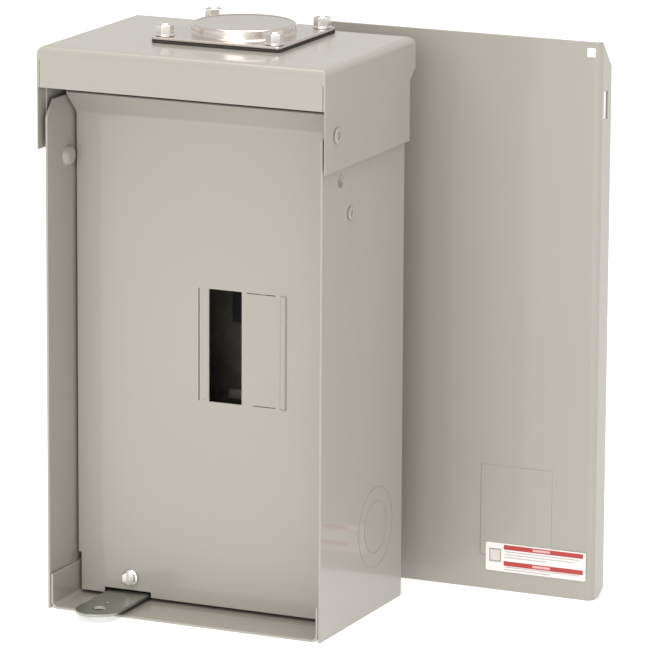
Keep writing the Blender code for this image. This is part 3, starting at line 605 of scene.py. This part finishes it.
class LOADCENTER_OT_tub(bpy.types.Operator):
    """Make the folded tub: walls, back, slanted shoulders, pressed domes, feet and side knockouts"""
    bl_idname = "loadcenter.tub"
    bl_label = "Tub"

    def execute(self, context):
        low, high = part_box("enclosure_tub")
        sheet, steps = sizes().sheet, sizes().round_steps
        front, side, back, top = low.y, high.x, high.y - FOOT_RISE, high.z
        middle, rear = side - sheet / 2, back - sheet / 2
        tub = as_object("Enclosure_Tub", sheet_mesh(
            [(-middle, front), (-middle, rear), (middle, rear), (middle, front)],
            "Z", 0.0, top, TUB_FOLD, sizes().bend_steps))
        thicken(tub, sheet)
        shoulder_low, shoulder = 267.0 * MM, 275.5 * MM
        slant, depth = front + 7.6 * MM, front + 24.0 * MM
        cut(tub, plate_mesh(
            [(front - SPARE, shoulder_low), (front, shoulder_low), (slant, shoulder), (depth, shoulder),
             (depth, top + SPARE), (front - SPARE, top + SPARE)], "X", -2 * side, 2 * side))
        pivot = joint_at("deadfront_swing")
        dome_y = front + 22.8 * MM
        tools = []
        for way in (-1, 1):
            x0, x1 = sorted((way * (side - sheet / 2), way * (side - 12 * MM)))
            tools.append(block_mesh((x0, front + 30 * MM, top - sheet), (x1, back - 16 * MM, top)))
            inner = way * (side - sheet)
            tools.append(turned_mesh(
                [(5.8 * MM, inner + way * sheet / 2), (5.8 * MM, inner), (5.5 * MM, inner - way * 1.0 * MM),
                 (4.7 * MM, inner - way * 2.3 * MM), (3.6 * MM, inner - way * 3.1 * MM),
                 (2.2 * MM, inner - way * 3.4 * MM), (0.0, inner - way * 3.4 * MM)],
                "X", (dome_y, pivot.z), steps))
        spots = [mount_at("wall_foot_" + label) for label in ("top", "left", "right")]
        feet = [(spot.x, spot.z - FOOT_MOUNT_RISE) for spot in spots]
        for x, z in feet:
            tools.append(turned_mesh([(FOOT_RADIUS, back - sheet / 2), (FOOT_RADIUS * 0.97, back + 1.5 * MM),
                                      (FOOT_RADIUS * 0.9, back + FOOT_RISE)], "Y", (x, z), steps))
        join(tub, *tools)
        bevel = 1.4 * MM
        for way in (-1, 1):
            near, far = way * (side - bevel), way * (side + bevel)
            rim = [(near, top), (near, top + SPARE), (far, top + SPARE), (far, top - 2 * bevel)]
            cut(tub, plate_mesh(rim, "Y", front - SPARE, back + SPARE))
        round_edges(tub, sizes().edge)
        for label, way in SIDES:
            inner, outer = way * (side - sheet), way * side
            cut(tub, turned_mesh([(4.1 * MM, outer + way * MM), (3.7 * MM, outer - way * 0.3 * MM),
                                  (3.3 * MM, inner - way * 0.5 * MM), (1.6 * MM, inner - way * 1.9 * MM),
                                  (0.0, inner - way * 2.0 * MM)], "X", (dome_y, pivot.z), steps))
            hole = centre_of("stop_rivet_" + label)
            cut(tub, cylinder_mesh("X", (hole.y, hole.z), RIVET_HOLE, outer - way * 4 * MM,
                                   outer + way * 2 * MM, 24))
            spot = mount_at("side_knockout_" + label)
            cut(tub, *knockout_tools("X", (spot.y, spot.z), KNOCKOUT_RADII, outer, 0.16 * MM, -way, steps))
        for x, z in feet:
            hollow = [(FOOT_RADIUS * 0.86, back - 2 * sheet), (FOOT_RADIUS * 0.80, back + 2.9 * MM)]
            cut(tub, turned_mesh(hollow, "Y", (x, z), steps),
                cylinder_mesh("Y", (x, z), FOOT_HOLE, back, back + SPARE, 24))
        settle(tub, paint_material(), "enclosure", ("enclosure_tub",))
        return {"FINISHED"}


class LOADCENTER_OT_bottom_pan(bpy.types.Operator):
    """Make the bottom pan with its turned-up side tabs and knockouts"""
    bl_idname = "loadcenter.bottom_pan"
    bl_label = "Bottom Pan"

    def execute(self, context):
        low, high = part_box("bottom_pan")
        sheet = sizes().sheet
        reach = high.x - sheet / 2
        pan = as_object("Bottom_Pan", sheet_mesh(
            [(-reach, high.z), (-reach, sheet / 2), (reach, sheet / 2), (reach, high.z)],
            "Y", low.y, high.y, 3.2 * MM, sizes().bend_steps))
        thicken(pan, sheet)
        for way in (-1, 1):
            x0, x1 = sorted((way * 74.0 * MM, way * 2 * high.x))
            cut(pan, block_mesh((x0, high.y - 2.2 * MM, -SPARE), (x1, high.y + SPARE, high.z + SPARE)))
        join(pan, block_mesh((-70 * MM, high.y - sheet, sheet / 2), (70 * MM, high.y, high.z)))
        round_edges(pan, sizes().edge)
        for name in ("bottom_knockout_left", "bottom_knockout_right"):
            spot = mount_at(name)
            cut(pan, *knockout_tools("Z", (spot.x, spot.y), KNOCKOUT_RADII, 0.0, 0.5 * MM, 1,
                                     sizes().round_steps))
        for name in numbered("bracket_rivet_", 2):
            hole = centre_of(name)
            cut(pan, cylinder_mesh("Z", (hole.x, hole.y), RIVET_HOLE, -SPARE, SPARE, 20))
        settle(pan, paint_material(), "enclosure", ("bottom_pan",))
        return {"FINISHED"}


def hood_block(half, front, back, bottom, top, rounding, steps):
    """Block whose top edges are rounded as folded sheet is."""
    bm = block_mesh((-half, front, bottom), (half, back, top))
    edges = [edge for edge in bm.edges if all(abs(vert.co.z - top) < TINY for vert in edge.verts)]
    bmesh.ops.bevel(bm, geom=edges, offset=rounding, offset_type="OFFSET", segments=steps,
                    profile=0.5, affect="EDGES", material=-1)
    return bm


class LOADCENTER_OT_hood(bpy.types.Operator):
    """Make the rain hood with its rounded top, side skirts, corner seams, stepped back and hub opening"""
    bl_idname = "loadcenter.hood"
    bl_label = "Rain Hood"

    def execute(self, context):
        low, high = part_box("rain_cap")
        sheet, steps = sizes().sheet, sizes().bend_steps
        half, lip = high.x, 283.0 * MM
        hood = as_object("Rain_Hood", hood_block(half, low.y, high.y, low.z, high.z, HOOD_FOLD, steps))
        cut(hood, hood_block(half - sheet, low.y + sheet, high.y - sheet, low.z - SPARE, high.z - sheet,
                             HOOD_FOLD - sheet, steps))
        cut(hood, block_mesh((-half + sheet, low.y - SPARE, low.z - SPARE),
                             (half - sheet, low.y + 13 * MM, lip)))
        rear, step = 288.4 * MM, high.y - 7.0 * MM
        cut(hood, plate_mesh([(step, low.z - SPARE), (high.y + SPARE, low.z - SPARE), (high.y + SPARE, rear),
                              (high.y, rear), (step, rear - 5.8 * MM)], "X", -2 * half, 2 * half))
        for way in (-1, 1):
            x0, x1 = sorted((way * (half - sheet - 0.2 * MM), way * (half - sheet)))
            cut(hood, block_mesh((x0, low.y - SPARE, lip - SPARE), (x1, low.y + sheet, high.z - 7.5 * MM)))
            x0, x1 = sorted((way * (half - sheet - 0.2 * MM), way * (half - 0.68 * MM)))
            cut(hood, block_mesh((x0, low.y - SPARE, low.z - SPARE), (x1, low.y + 9 * MM, lip - 0.1 * MM)))
        hub = centre_of("hub_gasket")
        cut(hood, cylinder_mesh("Z", (hub.x, hub.y), HUB_OPENING, high.z - SPARE, high.z + SPARE,
                                sizes().round_steps))
        for name in numbered("hub_bolt_", 4):
            hole = centre_of(name)
            cut(hood, cylinder_mesh("Z", (hole.x, hole.y), BOLT_HOLE, high.z - SPARE, high.z + SPARE, 20))
        for label, way in SIDES:
            hole = centre_of("hood_rivet_" + label)
            cut(hood, cylinder_mesh("X", (hole.y, hole.z), 2.5 * MM, way * (half - 3 * MM),
                                    way * (half + 2 * MM), 20))
        round_edges(hood, sizes().edge)
        weld = bmesh.new()
        weld.from_mesh(hood.data)
        blob = bmesh.ops.create_uvsphere(weld, u_segments=20, v_segments=12, radius=1.0)["verts"]
        bmesh.ops.scale(weld, vec=(1.5 * MM, 0.6 * MM, 1.9 * MM), verts=blob)
        corner = (half - sheet - 0.2 * MM, low.y + 0.3 * MM, high.z - 7.0 * MM)
        bmesh.ops.translate(weld, vec=corner, verts=blob)
        weld.to_mesh(hood.data)
        weld.free()
        settle(hood, paint_material(), "enclosure", ("rain_cap",))
        return {"FINISHED"}


class LOADCENTER_OT_hub(bpy.types.Operator):
    """Make the hub closure: rubber gasket and zinc plate with its raised round boss"""
    bl_idname = "loadcenter.hub"
    bl_label = "Hub Closure"

    def execute(self, context):
        steps = sizes().round_steps
        bolts = [centre_of(name) for name in numbered("hub_bolt_", 4)]
        low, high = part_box("hub_gasket")
        mid = (low + high) / 2
        gasket = as_object("Hub_Gasket", corner_plate(low, high, 2.0 * MM))
        cut(gasket, cylinder_mesh("Z", (mid.x, mid.y), HUB_OPENING, low.z - SPARE, high.z + SPARE, steps))
        for hole in bolts:
            cut(gasket, cylinder_mesh("Z", (hole.x, hole.y), BOLT_HOLE, low.z - SPARE, high.z + SPARE, 20))
        settle(gasket, gasket_material(), "enclosure", ("hub_gasket",))
        low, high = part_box("hub_closure_plate")
        face = low.z + 1.4 * MM
        plate = as_object("Hub_Plate", corner_plate(low, Vector((high.x, high.y, face)), 2.0 * MM))
        round_edges(plate, 0.3 * MM)
        outer, top = 27.8 * MM, high.z
        flare, lid = outer + 1.4 * MM, top - 0.25 * MM
        boss = [(flare, face - 0.6 * MM), (flare, face), (outer + 0.5 * MM, face + 0.25 * MM),
                (outer + 0.1 * MM, face + 0.9 * MM), (outer, face + 1.8 * MM), (outer, top - 1.3 * MM),
                (outer - 0.2 * MM, top - 0.7 * MM), (outer - 0.6 * MM, lid), (outer - 1.2 * MM, top),
                (outer - 2.6 * MM, top), (outer - 3.0 * MM, lid), (0.0, lid)]
        join(plate, turned_mesh(boss, "Z", (mid.x, mid.y), 2 * steps))
        cut(plate, cylinder_mesh("Z", (mid.x, mid.y), 24.8 * MM, low.z - SPARE, top - 1.6 * MM, steps))
        for hole in bolts:
            cut(plate, cylinder_mesh("Z", (hole.x, hole.y), BOLT_HOLE, low.z - SPARE, face + 2 * MM, 20))
        settle(plate, hub_material(), "enclosure", ("hub_closure_plate",))
        return {"FINISHED"}


def corner_plate(low, high, rounding):
    """Flat plate with rounded corners."""
    bm = block_mesh(low, high)
    posts = [edge for edge in bm.edges if abs(edge.verts[0].co.z - edge.verts[1].co.z) > TINY]
    bmesh.ops.bevel(bm, geom=posts, offset=rounding, offset_type="OFFSET", segments=6,
                    profile=0.5, affect="EDGES", material=-1)
    return bm


def hex_head(axis, centre, across, start, end):
    """Six-sided head with its corners chamfered, between two distances along an axis."""
    bm = bmesh.new()
    bmesh.ops.create_cone(bm, cap_ends=True, segments=6, radius1=across, radius2=across,
                          depth=abs(end - start))
    bmesh.ops.bevel(bm, geom=bm.edges[:], offset=0.28 * MM, offset_type="OFFSET", segments=3,
                    profile=0.5, affect="EDGES", material=-1)
    if axis == "Y":
        bmesh.ops.rotate(bm, cent=(0, 0, 0), matrix=Matrix.Rotation(math.radians(90), 3, "X"), verts=bm.verts)
    bmesh.ops.translate(bm, vec=place(axis, *centre, (start + end) / 2), verts=bm.verts)
    return bm


class LOADCENTER_OT_hub_bolts(bpy.types.Operator):
    """Make the four hex washer-head bolts of the hub closure"""
    bl_idname = "loadcenter.hub_bolts"
    bl_label = "Hub Bolts"

    def execute(self, context):
        for name in numbered("hub_bolt_", 4):
            low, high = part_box(name)
            mid = (low + high) / 2
            at, seat = (mid.x, mid.y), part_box("hub_closure_plate")[0].z + 1.7 * MM
            bolt = as_object(name.title(), turned_mesh(
                [(0.0, low.z), (1.9 * MM, low.z), (2.5 * MM, low.z + MM), (2.5 * MM, seat), (5.0 * MM, seat),
                 (5.2 * MM, seat + 0.3 * MM), (5.0 * MM, seat + 0.8 * MM), (4.3 * MM, seat + 1.1 * MM),
                 (0.0, seat + 1.1 * MM)], "Z", at, 32))
            join(bolt, hex_head("Z", at, 4.75 * MM, seat + 0.6 * MM, high.z))
            cut(bolt, turned_mesh([(2.9 * MM, high.z + MM), (2.9 * MM, high.z), (2.4 * MM, high.z - 0.5 * MM),
                                   (0.0, high.z - 0.6 * MM)], "Z", at, 32))
            settle(bolt, zinc_material(), "enclosure", (name,))
        return {"FINISHED"}


class LOADCENTER_OT_side_rivets(bpy.types.Operator):
    """Make the painted rivets of the hood and the stops"""
    bl_idname = "loadcenter.side_rivets"
    bl_label = "Side Rivets"

    def execute(self, context):
        for kind, shank in (("hood_rivet_", 2.1 * MM), ("stop_rivet_", 1.6 * MM)):
            for label, way in SIDES:
                name = kind + label
                low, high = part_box(name)
                head = (high.y - low.y) / 2
                tip = high.x if way > 0 else low.x
                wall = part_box("enclosure_tub")[1].x - sizes().sheet / 2
                end = way * wall if kind.startswith("hood") else (low.x if way > 0 else high.x)
                rise = 1.2 * MM if kind.startswith("hood") else 1.0 * MM
                rivet = as_object(name.title(), turned_mesh(
                    [(0.0, end), (shank, end), (shank, tip - way * rise), (head, tip - way * rise),
                     (head, tip - way * rise * 0.6), (head * 0.88, tip - way * rise * 0.15),
                     (head * 0.70, tip), (head * 0.54, tip - way * rise * 0.12),
                     (head * 0.46, tip - way * rise * 0.95), (head * 0.24, tip - way * rise * 0.95),
                     (head * 0.20, tip - way * rise * 0.45), (0.0, tip - way * rise * 0.35)],
                    "X", ((low.y + high.y) / 2, (low.z + high.z) / 2), 32))
                settle(rivet, paint_material(), "enclosure", (name,))
        return {"FINISHED"}


class LOADCENTER_OT_hasp(bpy.types.Operator):
    """Make the padlock hasp that floats over the pan, with its padlock and seal holes"""
    bl_idname = "loadcenter.hasp"
    bl_label = "Padlock Hasp"

    def execute(self, context):
        low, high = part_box("padlock_hasp")
        thick = 1.6 * MM
        x = (low.x + high.x) / 2
        half = (high.x - low.x) / 2
        upper, lower = high.z - thick / 2, low.z + thick / 2
        joggle = high.y - 29.5 * MM
        hasp = as_object("Padlock_Hasp", sheet_mesh(
            [(low.y, upper), (joggle, upper), (joggle + 2.5 * MM, lower), (high.y, lower)],
            "X", low.x, high.x, 1.2 * MM, sizes().bend_steps))
        thicken(hasp, thick)
        disc = cylinder_mesh("Z", (x, low.y + half), half, -SPARE, 2 * SPARE, 2 * sizes().round_steps)
        slab = block_mesh((x - 2 * half, low.y + half, -2 * SPARE), (x + 2 * half, high.y + SPARE, 3 * SPARE))
        trim = as_object("trim", disc)
        join(trim, slab)
        keep = bmesh.new()
        keep.from_mesh(trim.data)
        bpy.data.objects.remove(trim, do_unlink=True)
        combine(hasp, (keep,), "INTERSECT")
        cut(hasp, cylinder_mesh("Z", (x, low.y + 13.2 * MM), 3.9 * MM, -SPARE, 2 * SPARE, 40),
            cylinder_mesh("Z", (x - 0.4 * MM, low.y + 24.0 * MM), 1.3 * MM, -SPARE, 2 * SPARE, 24))
        round_edges(hasp, 0.25 * MM)
        for name in numbered("bracket_rivet_", 2):
            hole = centre_of(name)
            cut(hasp, cylinder_mesh("Z", (hole.x, hole.y), RIVET_HOLE, -SPARE, 2 * SPARE, 20))
        settle(hasp, hasp_material(), "enclosure", ("padlock_hasp",))
        return {"FINISHED"}


class LOADCENTER_OT_deadfront(bpy.types.Operator):
    """Make the deadfront with its returns, breaker window, lanced strip, twist-out and bead"""
    bl_idname = "loadcenter.deadfront"
    bl_label = "Deadfront"

    def execute(self, context):
        low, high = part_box("deadfront")
        sheet = sizes().cover_sheet
        face = joint_at("deadfront_swing").y
        middle, side, bend = face + sheet / 2, high.x, 265.0 * MM
        lean = high.z - bend
        dead = as_object("Deadfront_Cover", sheet_mesh(
            [(middle, low.z), (middle, bend), (middle - lean, bend + lean)], "X", -side, side,
            2.2 * MM, sizes().bend_steps))
        thicken(dead, sheet)
        step, stop = 24.0 * MM, centre_of("deadfront_stop_left").z
        returns, feet = [], []
        for way in (-1, 1):
            x0, x1 = sorted((way * 75.8 * MM, way * 2 * side))
            feet.append(block_mesh((x0, face - SPARE, -SPARE), (x1, face + SPARE, step)))
            x0, x1 = sorted((way * side, way * (side - sheet)))
            for z0, z1 in ((step, stop - 15 * MM), (stop + 15 * MM, bend - 4 * MM)):
                returns.append(block_mesh((x0, middle, z0), (x1, high.y, z1)))
        cut(dead, *feet)
        join(dead, *returns)
        hasp = centre_of("padlock_hasp").x
        cut(dead, block_mesh((hasp - 14.6 * MM, face - SPARE, -SPARE),
                             (hasp + 13.0 * MM, face + SPARE, 6.2 * MM)))
        left, pole, bottom, top = 0.4 * MM, 19.05 * MM, 115.2 * MM, 176.2 * MM
        right = left + 2 * pole + 0.8 * MM
        cut(dead, block_mesh((left, face - SPARE, bottom), (left + pole, face + SPARE, top)))
        bead = [(right + 2.4 * MM, face + sheet / 2), (right + 2.7 * MM, face - 0.35 * MM),
                (right + 3.3 * MM, face - 1.0 * MM), (right + 5.7 * MM, face - 1.0 * MM),
                (right + 6.3 * MM, face - 0.35 * MM), (right + 6.6 * MM, face + sheet / 2)]
        join(dead, plate_mesh(bead, "Z", bottom, top))
        round_edges(dead, sizes().edge)
        slit = 0.45 * MM
        for corner, far in (((left + pole + 2.8 * MM, top - slit), (right, top)),
                            ((left + pole + 6.8 * MM, bottom), (right, bottom + slit)),
                            ((right + 2.6 * MM, bottom - 0.2 * MM), (right + 6.4 * MM, bottom + 0.3 * MM)),
                            ((left - 6.1 * MM, bottom), (left - 5.5 * MM, top))):
            cut(dead, block_mesh((corner[0], face - SPARE, corner[1]), (far[0], face + SPARE, far[1])))
        hollow = [(left - 5.0 * MM, face - MM), (left - 3.9 * MM, face + 0.2 * MM),
                  (left - 2.6 * MM, face + 0.45 * MM), (left - 1.3 * MM, face + 0.2 * MM),
                  (left - 0.4 * MM, face - MM)]
        cut(dead, plate_mesh(hollow, "Z", bottom + MM, top - MM))
        screw = joint_at("deadfront_screw_turn")
        cut(dead, cylinder_mesh("Y", (screw.x, screw.z), 2.8 * MM, face - SPARE, face + SPARE, 32))
        settle(dead, paint_material(), "deadfront", ("deadfront",))
        return {"FINISHED"}


class LOADCENTER_OT_deadfront_screw(bpy.types.Operator):
    """Make the slotted hex washer-head screw that holds the deadfront"""
    bl_idname = "loadcenter.deadfront_screw"
    bl_label = "Deadfront Screw"

    def execute(self, context):
        low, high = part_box("deadfront_screw")
        at = joint_at("deadfront_screw_turn")
        centre = (at.x, at.z)
        seat = at.y - 0.3 * MM
        screw = as_object("Deadfront_Screw", turned_mesh(
            [(0.0, high.y), (1.6 * MM, high.y), (2.1 * MM, high.y - MM), (2.1 * MM, seat), (4.5 * MM, seat),
             (4.6 * MM, seat - 0.4 * MM), (4.4 * MM, seat - 0.8 * MM), (3.5 * MM, seat - 1.1 * MM),
             (0.0, seat - 1.1 * MM)], "Y", centre, 40))
        join(screw, hex_head("Y", centre, 3.9 * MM, low.y, seat - 0.6 * MM))
        cut(screw, block_mesh((at.x - 0.6 * MM, low.y - MM, at.z - SPARE),
                              (at.x + 0.6 * MM, seat - 2.0 * MM, at.z + SPARE)))
        settle(screw, zinc_material(), "deadfront_screw", ("deadfront_screw",))
        return {"FINISHED"}


class LOADCENTER_OT_door(bpy.types.Operator):
    """Make the lift-off door with its side returns and slots, corner holes, hasp slot and pressed panel"""
    bl_idname = "loadcenter.door"
    bl_label = "Door"

    def execute(self, context):
        low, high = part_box("door_panel")
        sheet = sizes().cover_sheet
        face, back, top = low.y, high.y, high.z
        left, right, middle = low.x + sheet / 2, high.x - sheet / 2, face + sheet / 2
        door = as_object("Door_Panel", sheet_mesh(
            [(left, back), (left, middle), (right, middle), (right, back)], "Z", 0.0, top,
            3.0 * MM, sizes().bend_steps))
        thicken(door, sheet)
        fold, shoulder, heel, sole = face + 3 * MM, top - 14.6 * MM, back - 6.8 * MM, 4.0 * MM
        upper = [(fold, top + SPARE), (fold, top), (back, shoulder), (back + SPARE, shoulder),
                 (back + SPARE, top + SPARE)]
        lower = [(heel, -SPARE), (heel, 0.0), (back, sole), (back + SPARE, sole), (back + SPARE, -SPARE)]
        cut(door, *(plate_mesh(corner, "X", low.x - SPARE, high.x + SPARE) for corner in (upper, lower)))
        panel = block_mesh((high.x - 65.6 * MM, face - 0.24 * MM, 19.0 * MM),
                           (high.x - 24.2 * MM, face + sheet / 2, 69.5 * MM))
        rim = [edge for edge in panel.edges if all(vert.co.y < face for vert in edge.verts)]
        bmesh.ops.bevel(panel, geom=rim, offset=0.20 * MM, offset_type="OFFSET", segments=2,
                        profile=0.5, affect="EDGES", material=-1)
        join(door, panel)
        round_edges(door, sizes().edge, sharp=50.0)
        slot_y, slot_z = face + 7.7 * MM, 270.0 * MM
        cut(door, block_mesh((low.x - SPARE, slot_y - 2.6 * MM, slot_z - 7.5 * MM),
                             (high.x + SPARE, slot_y + 2.6 * MM, slot_z + 7.5 * MM)))
        hole_z, half = 298.8 * MM, 2.5 * MM
        for x in (low.x + 5.8 * MM, high.x - 5.8 * MM):
            cut(door, block_mesh((x - half, face - SPARE, hole_z - half),
                                 (x + half, face + SPARE, hole_z + half)))
        slot_x = (low.x + high.x) / 2 + centre_of("padlock_hasp").x
        cut(door, block_mesh((slot_x - 14.5 * MM, face - SPARE, 2.6 * MM),
                             (slot_x + 14.5 * MM, face + SPARE, 7.8 * MM)))
        settle(door, paint_material(), "door", ("door_panel",))
        return {"FINISHED"}


class LOADCENTER_OT_label(bpy.types.Operator):
    """Make the thin printed film on the door, with plain bands and rules"""
    bl_idname = "loadcenter.label"
    bl_label = "Door Label"

    def execute(self, context):
        low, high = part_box("door_label")
        bm = block_mesh(low, high)
        posts = [edge for edge in bm.edges if abs(edge.verts[0].co.y - edge.verts[1].co.y) > TINY]
        bmesh.ops.bevel(bm, geom=posts, offset=0.8 * MM, offset_type="OFFSET", segments=5,
                        profile=0.5, affect="EDGES", material=-1)
        settle(as_object("Door_Label", bm), label_material(), "door", ("door_label",))
        return {"FINISHED"}


class LOADCENTER_OT_interior(bpy.types.Operator):
    """Make the bracket, stops, interior plate, rail, bars, lugs, standoffs and their screws"""
    bl_idname = "loadcenter.interior"
    bl_label = "Interior"

    def execute(self, context):
        zinc, steel, plated = zinc_material(), galvanised_material(), plated_material()
        plastic, green = insulator_material(), bond_material()
        groups = (
            (zinc, "bright_zinc", 0.20, ("screw_bracket", "deadfront_stop_left", "deadfront_stop_right")),
            (steel, "galvanised_steel", 0.20, ("interior_pan", "breaker_rail")),
            (plated, "plated_aluminium", 0.35, (
                "bus_bar_a", "bus_bar_b", "line_lug_a", "line_lug_b", "neutral_bar", "neutral_lug")),
            (plastic, "moulded_insulator", 0.45, ("bus_insulator", "neutral_standoff_lower",
                                                  "neutral_standoff_upper")),
            (green, "green_screw", 0.12, ("bonding_screw",)),
            (zinc, "bright_zinc", 0.12, (
                *numbered("bracket_rivet_", 2), *numbered("pan_screw_", 4), "line_lug_screw_a",
                "line_lug_screw_b", "neutral_lug_screw", *numbered("neutral_screw_", 6))))
        for look, slot, edge, names in groups:
            for name in names:
                piece = as_object(name.title(), copy_of(name))
                round_edges(piece, edge * MM, steps=2)
                settle(piece, look, "enclosure", (name,))
        return {"FINISHED"}


# ---------------------------------------------------------------- stage

LIGHT_AIM = (0.0, 0.0, 0.15)
FLOOR_GLOW = 0.60
WORLD_COLOUR = (1.0, 0.995, 0.975, 1.0)
WORLD_GLOW = 0.70
CAMERA_LENS = 302.659
CAMERA_PLACE = (1.223326, -2.555770, 0.790385)
CAMERA_TURN = (77.30790, -0.28821, 24.58606)


def soft_light(name, place_at, size, power, colour):
    lamp = bpy.data.lights.new(name, "AREA")
    lamp.shape = "RECTANGLE"
    lamp.size, lamp.size_y = size
    lamp.energy = power
    lamp.color = colour
    obj = bpy.data.objects.new(name, lamp)
    bpy.context.scene.collection.objects.link(obj)
    obj.location = place_at
    obj.rotation_euler = (Vector(LIGHT_AIM) - Vector(place_at)).to_track_quat("-Z", "Y").to_euler()


class LOADCENTER_OT_stage(bpy.types.Operator):
    """Make the pale floor, the soft lights, the world and the camera"""
    bl_idname = "loadcenter.stage"
    bl_label = "Stage"

    def execute(self, context):
        scene = context.scene
        bm = bmesh.new()
        bmesh.ops.create_grid(bm, x_segments=2, y_segments=2, size=FLOOR_HALF)
        floor = as_object("Stage_Floor", bm)
        look, tree, shader = new_material("Stage Floor")
        shader.inputs["Base Color"].default_value = (*colours().floor, 1.0)
        shader.inputs["Roughness"].default_value = 0.9
        shader.inputs["Emission Color"].default_value = (1.0, 1.0, 1.0, 1.0)
        shader.inputs["Emission Strength"].default_value = FLOOR_GLOW
        floor.data.materials.append(look)
        soft_light("Front", (0.25, -3.2, 1.3), (2.4, 1.8), 40.0, (1.0, 0.965, 0.945))
        soft_light("Top", (0.2, -0.3, 3.0), (2.6, 2.6), 72.0, (1.0, 0.95, 0.925))
        world = bpy.data.worlds.new("Studio")
        world.use_nodes = True
        back = world.node_tree.nodes["Background"]
        back.inputs["Color"].default_value = WORLD_COLOUR
        back.inputs["Strength"].default_value = WORLD_GLOW
        scene.world = world
        scene.view_settings.view_transform = "Standard"
        lens = bpy.data.cameras.new("Camera")
        lens.lens = CAMERA_LENS
        lens.sensor_width = 36.0
        lens.clip_start = 0.05
        lens.clip_end = 100.0
        camera = bpy.data.objects.new("Camera", lens)
        scene.collection.objects.link(camera)
        camera.location = CAMERA_PLACE
        camera.rotation_euler = [math.radians(turn) for turn in CAMERA_TURN]
        scene.camera = camera
        return {"FINISHED"}


# ---------------------------------------------------------------- panel and running

OPERATORS = (
    LOADCENTER_OT_stage,
    LOADCENTER_OT_tub,
    LOADCENTER_OT_bottom_pan,
    LOADCENTER_OT_hood,
    LOADCENTER_OT_hub,
    LOADCENTER_OT_hub_bolts,
    LOADCENTER_OT_side_rivets,
    LOADCENTER_OT_hasp,
    LOADCENTER_OT_deadfront,
    LOADCENTER_OT_deadfront_screw,
    LOADCENTER_OT_door,
    LOADCENTER_OT_label,
    LOADCENTER_OT_interior,
)


class LOADCENTER_PT_pieces(bpy.types.Panel):
    """Lists the load center's sizes, colours and pieces"""
    bl_idname = "LOADCENTER_PT_pieces"
    bl_label = "Load Center"
    bl_space_type = "VIEW_3D"
    bl_region_type = "UI"
    bl_category = "Load Center"

    def draw(self, context):
        for group in (context.scene.load_center_sizes, context.scene.load_center_colours):
            box = self.layout.box()
            for label in group.__annotations__:
                box.prop(group, label)
        column = self.layout.column(align=True)
        for operator in OPERATORS:
            column.operator(operator.bl_idname)


CLASSES = (LoadCenterSizes, LoadCenterColours, *OPERATORS, LOADCENTER_PT_pieces)


def register():
    for made in CLASSES:
        bpy.utils.register_class(made)
    bpy.types.Scene.load_center_sizes = PointerProperty(type=LoadCenterSizes)
    bpy.types.Scene.load_center_colours = PointerProperty(type=LoadCenterColours)


def unregister():
    del bpy.types.Scene.load_center_colours
    del bpy.types.Scene.load_center_sizes
    for made in reversed(CLASSES):
        bpy.utils.unregister_class(made)


def main():
    register()
    for operator in OPERATORS:
        group, name = operator.bl_idname.split(".")
        getattr(getattr(bpy.ops, group), name)()


if __name__ == "__main__":
    main()
